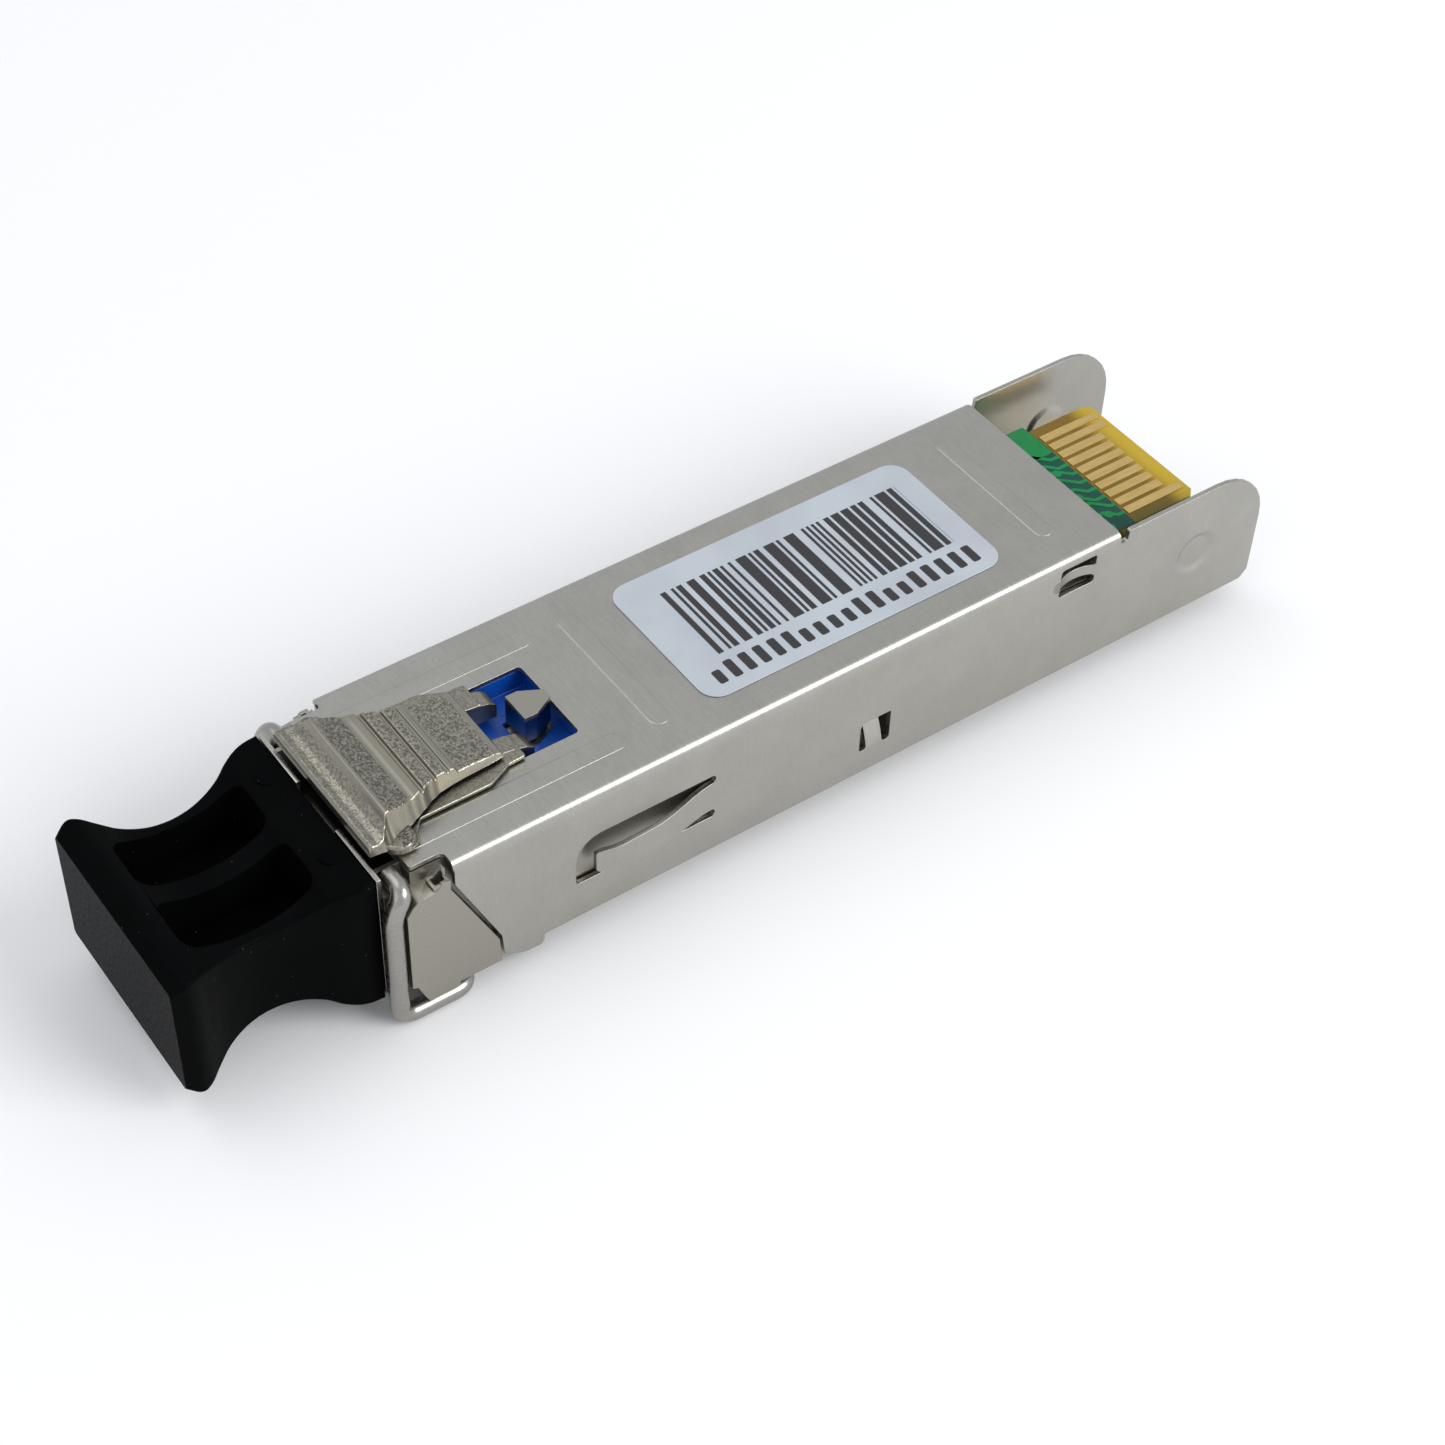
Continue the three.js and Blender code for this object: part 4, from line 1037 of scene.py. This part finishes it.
actuator = {
    "bottom": 9.02, "edge": 0.16,
    # y, top z and corner radius of the ridge line, from the lip to the rear
    "ridge": [(-10.95, 9.08, 0.0), (-10.95, 9.5, 0.14), (-10.78, 9.66, 0.12), (-10.45, 9.62, 0.2),
              (-10.1, 9.70, 0.5), (-9.72, 10.02, 0.3), (-9.5, 10.46, 0.16), (-9.34, 10.44, 0.1),
              (-7.86, 10.02, 0.4), (-7.62, 10.07, 0.3),
              (-7.27, 10.09, 0.06), (-7.18, 9.90, 0.05), (-7.06, 9.90, 0.05), (-6.98, 10.07, 0.06),
              (-6.32, 10.05, 0.06), (-6.25, 9.87, 0.05), (-6.15, 9.87, 0.05), (-6.07, 10.02, 0.06),
              (-5.52, 10.0, 0.06), (-5.46, 9.82, 0.05), (-5.36, 9.82, 0.05), (-5.28, 9.92, 0.08),
              (-5.0, 9.86, 0.2), (-4.86, 9.56, 0.12), (-2.72, 9.38, 0.2), (-2.32, 9.26, 0.2),
              (-2.2, 9.06, 0.08)],
    # y, half-width at the top edge, half-width at the bottom
    "plan": [(-10.95, 4.62, 4.62), (-10.4, 4.62, 4.66), (-10.1, 4.45, 4.72), (-9.75, 3.95, 4.6),
             (-9.45, 3.72, 4.4), (-8.9, 3.6, 4.15), (-8.3, 3.46, 3.95), (-7.8, 3.30, 3.7), (-7.2, 3.12, 3.42),
             (-6.6, 2.85, 3.1), (-6.0, 2.68, 2.88), (-5.2, 2.60, 2.76), (-4.4, 2.56, 2.70),
             (-3.0, 2.52, 2.64), (-2.2, 2.44, 2.56)],
    # half outlines at positive x: x, y, corner radius
    "slab": [(4.3, -9.7, 0.1), (4.5, -9.5, 0.1), (4.95, -9.28, 0.2), (5.05, -8.8, 0.3), (4.75, -8.3, 0.3),
             (4.2, -8.1, 0.2), (3.6, -7.6, 0.4), (3.6, -3.6, 0.5), (3.1, -2.5, 0.3), (2.95, -2.2, 0.1),
             (2.9, -1.2, 0.15), (1.25, -1.2, 0.05), (1.2, -2.2, 0)],
    "lobe": [(3.9, -10.0, 0.2), (4.62, -10.0, 0.35), (5.0, -9.55, 0.4), (5.1, -8.95, 0.5), (4.62, -8.25, 0.5),
             (3.7, -8.4, 0.2)],
    # the hooked end that slides past the boss, from the side: y, z, corner radius
    "tine": [(-2.6, 8.62, 0), (-2.05, 8.5, 0.1), (-2.05, 7.5, 0.05), (-0.32, 7.5, 0.05), (-0.3, 8.3, 0.18),
             (-0.75, 8.62, 0.5), (-1.45, 8.83, 0.4), (-2.6, 9.0, 0)],
    "tineX": (1.2, 2.3), "slabZ": (8.6, 8.82), "webX": 2.1, "webY": (-10.3, -2.5), "webZ": 9.3,
    "lobeZ": (8.56, 9.16),
}


def along(table, y, column):
    # a smooth reading of a table whose first column is y
    for (a, b) in zip(table, table[1:]):
        if y <= b[0] or b is table[-1]:
            share = (y - a[0]) / (b[0] - a[0])
            t = smoothStep(share) * 0.5 + share * 0.5
            return a[column] + (b[column] - a[column]) * max(0.0, min(1.0, t))
    return table[-1][column]


def makeCap():
    c = actuator
    ridge = rounded([(-11.5, 9.08, 0), *c["ridge"], (-1.5, 9.06, 0)], 4)[1:-1]
    ridge = [(y, z) for y, z in ridge if -10.951 <= y <= -2.199]
    line = []
    for (y0, z0), (y1, z1) in zip(ridge, ridge[1:]):
        count = max(1, math.ceil(math.hypot(y1 - y0, z1 - z0) / 0.14))
        line += [(y0 + (y1 - y0) * k / count, z0 + (z1 - z0) * k / count) for k in range(count)]
    line.append(ridge[-1])
    arcs = 5
    peaks = [(y, max(h for v, h in line if abs(v - y) < 0.35)) for y, _ in line]
    crest = []
    for y, _ in line:
        near = [h for v, h in peaks if abs(v - y) < 0.5]
        crest.append(sum(near) / len(near))
    sections = []
    for (y, z), smoothZ in zip(line, crest):
        topHalf, footHalf = along(c["plan"], y, 1), along(c["plan"], y, 2)
        r = min(c["edge"], max(0.0, (z - c["bottom"]) * 0.45))
        lean = (footHalf - topHalf)
        drop = max(smoothZ - c["bottom"] - r, 0.0) * 0.55
        wallZ = min(c["bottom"] + drop, z - r - 0.01)
        # a groove only lowers the wall's top edge, it doesn't change the wall's slope
        share = (z - r - wallZ) / max(smoothZ - r - wallZ, 0.01)
        topHalf += lean * 0.30 * max(0.0, 1.0 - share)
        right = [(footHalf, c["bottom"])]
        for k in range(arcs + 1):
            turn = math.pi / 2 * k / arcs
            right.append((topHalf - r + r * math.cos(turn), z - r + r * math.sin(turn)))
        right.insert(1, (footHalf - lean * 0.70, wallZ))
        for k in range(1, 6):
            right.append(((topHalf - r) * (1 - k / 5), z))
        full = right + [(-x, h) for x, h in reversed(right[:-1])]
        sections.append([(x, y, h) for x, h in full])
    cap = loft("cap", sections)
    tidyMesh(cap, 1e-6, 1e-6)
    smooth(cap, 42)
    return cap


def softPrism(name, corners, low, high, width, segments, axis="Z"):
    made = prism(name, rounded(corners, 6), low, high, axis)
    soften(made, width, segments)
    return made


def makeActuator():
    c = actuator
    web = blockOf("web", -c["webX"], c["webX"], *c["webY"], c["slabZ"][0], c["webZ"], 0.2)
    slab = softPrism("slab", mirroredOutline(c["slab"]), *c["slabZ"], 0.05, 2)
    lobes, tines = [], []
    for side in (-1, 1):
        lobes.append(softPrism("lobe", [(side * x, *rest) for x, *rest in c["lobe"]], *c["lobeZ"], 0.16, 4))
        tines.append(softPrism("tine", c["tine"], *sorted(side * x for x in c["tineX"]), 0.09, 3, "X"))
    parts = [makeCap(), slab, web, *lobes, *tines]
    for part in parts:
        bake(part)
    whole = join("latchActuator", parts)
    dress(whole, "actuator", actuatorCast, "actuator_zinc", "latch_actuator")


makeActuator()
print("actuator ready")


plug = {
    "shoulder": -11.4, "middle": 4.3, "edge": 0.24,
    # y, half-height, half-width
    "stations": [(-22.2, 3.55, 5.85), (-21.5, 4.05, 6.1), (-20.9, 4.0, 5.95), (-20.2, 3.66, 5.5),
                 (-19.3, 3.2, 5.0), (-18.2, 2.88, 4.66), (-17.1, 2.78, 4.52), (-16.0, 2.85, 4.56),
                 (-15.0, 3.1, 4.72), (-14.1, 3.5, 4.98), (-13.4, 3.95, 5.32), (-12.7, 4.2, 5.62),
                 (-12.1, 4.3, 5.76), (-11.4, 4.34, 5.8)],
    "pocket": {"inner": 0.6, "outer": 3.9, "front": -20.35, "rear": -13.4, "web": 0.7, "corner": 0.7},
    "finger": {"x": 3.125, "half": 2.15, "low": 1.25, "high": 6.05, "end": -5.3, "bore": 1.5, "boreZ": 3.9,
               "corner": 0.4},
    "studs": {"x": 3.05, "y": -12.2, "radius": 0.62, "foot": 8.3, "top": 8.63},
}


def plugHull():
    c = plug
    rise = spline([(y, h) for y, h, _ in c["stations"]], 5)
    spread = spline([(y, w) for y, _, w in c["stations"]], 5)
    r, steps = c["edge"], 6
    rings = []
    for (y, h), (_, w) in zip(rise, spread):
        ring = []
        for cx, cz, start in ((1, 1, 0), (-1, 1, 1), (-1, -1, 2), (1, -1, 3)):
            for k in range(steps + 1):
                turn = math.pi / 2 * (start + k / steps)
                ring.append((cx * (w - r) + r * math.cos(turn), y,
                             c["middle"] + (cz * (h - r) + r * math.sin(turn))))
        rings.append(ring)
    hull = loft("dustPlug", rings)
    tidyMesh(hull)
    return hull


def makePlug():
    c, p, f = plug, plug["pocket"], plug["finger"]
    hull = plugHull()
    for side in (-1, 1):
        xs = sorted((side * p["inner"], side * p["outer"]))
        for low, high in ((c["middle"] + p["web"] / 2, 12), (-4, c["middle"] - p["web"] / 2)):
            cut(hull, blockOf("pocket", *xs, p["front"], p["rear"], low, high, p["corner"]))
        x = side * f["x"]
        ring = rectangle(x - f["half"], x + f["half"], f["low"], f["high"], f["corner"], 6)
        finger = prism("finger", ring, c["shoulder"] - 0.5, f["end"], axis="Y")
        bore = circle(x, f["boreZ"], f["bore"], 40)
        cut(finger, prism("bore", bore, c["shoulder"] + 0.8, f["end"] + 1, axis="Y"))
        weld(hull, finger)
    flatten(hull, 0.5, 4e-6)
    soften(hull, c["edge"], 5, 40)
    dress(hull, "plug", plugBlack, "plug_black", "dust_plug")
    studs = []
    s = c["studs"]
    for side in (-1, 1):
        stud = prism("stud", circle(side * s["x"], s["y"], s["radius"], 36), s["foot"], s["top"])
        soften(stud, 0.03, 2)
        bake(stud)
        studs.append(stud)
    dress(join("plugStuds", studs), "plug", plugBlack, "plug_black")


makePlug()
print("plug ready")


board = {"top": 6.25, "sunk": 0.01, "height": 0.02, "traceFrom": 37.4, "traceTo": 33.7, "pitch": 0.8,
         "count": 10, "width": 0.26, "pour": (-5.1, -2.45, 33.6, 37.3), "viaRadius": 0.28,
         "vias": [(-0.9, 36.3), (1.3, 36.0), (3.3, 36.5), (4.2, 35.9)]}


def ribbon(name, points, width, low, high):
    # a flat strip along a bent line
    left, right = [], []
    for i, here in enumerate(points):
        a = Vector(points[max(i - 1, 0)])
        b = Vector(points[min(i + 1, len(points) - 1)])
        heading = (b - a).normalized()
        side = Vector((-heading.y, heading.x)) * width / 2
        left.append(tuple(Vector(here) + side))
        right.append(tuple(Vector(here) - side))
    return prism(name, left + right[::-1], low, high)


def makeTraces():
    c = board
    low, high = c["top"] - c["sunk"], c["top"] + c["height"]
    strips = []
    for k in range(c["count"]):
        x = (k - (c["count"] - 1) / 2) * c["pitch"]
        if x < -2.2:
            continue
        shift = 0.55 + 0.12 * (k % 3)
        knee = c["traceFrom"] - 0.35 - 0.12 * (k % 4)
        points = [(x, c["traceFrom"]), (x, knee), (x - shift, knee - shift), (x - shift, c["traceTo"])]
        if abs(points[-1][0]) < 4.4:
            strips.append(ribbon("trace", points, c["width"], low, high))
    strips.append(blockOf("pour", *c["pour"], low, high, 0.15))
    for x, y in c["vias"]:
        strips.append(prism("via", circle(x, y, c["viaRadius"], 20), low, c["top"] + c["height"] * 1.1))
    dress(join("boardTraces", strips), "module", traceGreen, "board_green")


makeTraces()
print("traces ready")

carried = {
    "circuit_board": boardGreen, "thermal_pad": padGrey, "optics_holder": holderBlack,
    "optics_clamp": bezelSteel, "clamp_screw": innerSteel, "laser_driver": chipBlack,
    "limiting_amplifier": chipBlack, "microcontroller": chipBlack, "memory_chip": chipBlack,
}
families = {
    ("transmitter", "receiver"): {"barrel": innerSteel, "sleeve": zirconia, "fibre_stub": zirconia,
                                  "can": canGold, "flex": flexAmber},
    ("transmit", "receive"): {"inductor": ferriteGrey, "filter_capacitor": capacitorTan,
                              "coupling_capacitor": capacitorTan},
}
for ways, looks in families.items():
    for way in ways:
        for kind, material in looks.items():
            carried[way + "_" + kind] = material
for number in range(1, 21):
    carried[f"contact_{number:02d}"] = contactGold

for nodeName, material in carried.items():
    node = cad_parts[nodeName]
    node.data.materials.clear()
    node.data.materials.append(material)
print("carried nodes dressed:", len(carried))


def makeFloor(setup):
    half = setup["floorHalf"]
    height = cadBox[0].z / mm - setup["floorGap"]
    count = 24   # squares along each side
    span = [(-half + 2 * half * k / count) / mm for k in range(count + 1)]
    verts = [(x, y, height) for y in span for x in span]
    row = count + 1
    faces = [(j * row + i, j * row + i + 1, (j + 1) * row + i + 1, (j + 1) * row + i)
             for j in range(count) for i in range(count)]
    floor = newObject("floor", verts, faces)
    look = Look("floorPaint", roughness=0.9)
    wash = look.noise(0.004, 2.0, 0.5)
    paint = setup["floorColour"]
    look.set("Base Color", look.mix(tuple(c * 0.99 for c in paint), paint, wash))
    floor.data.materials.append(look.material)


makeFloor(studio)
print("floor ready")
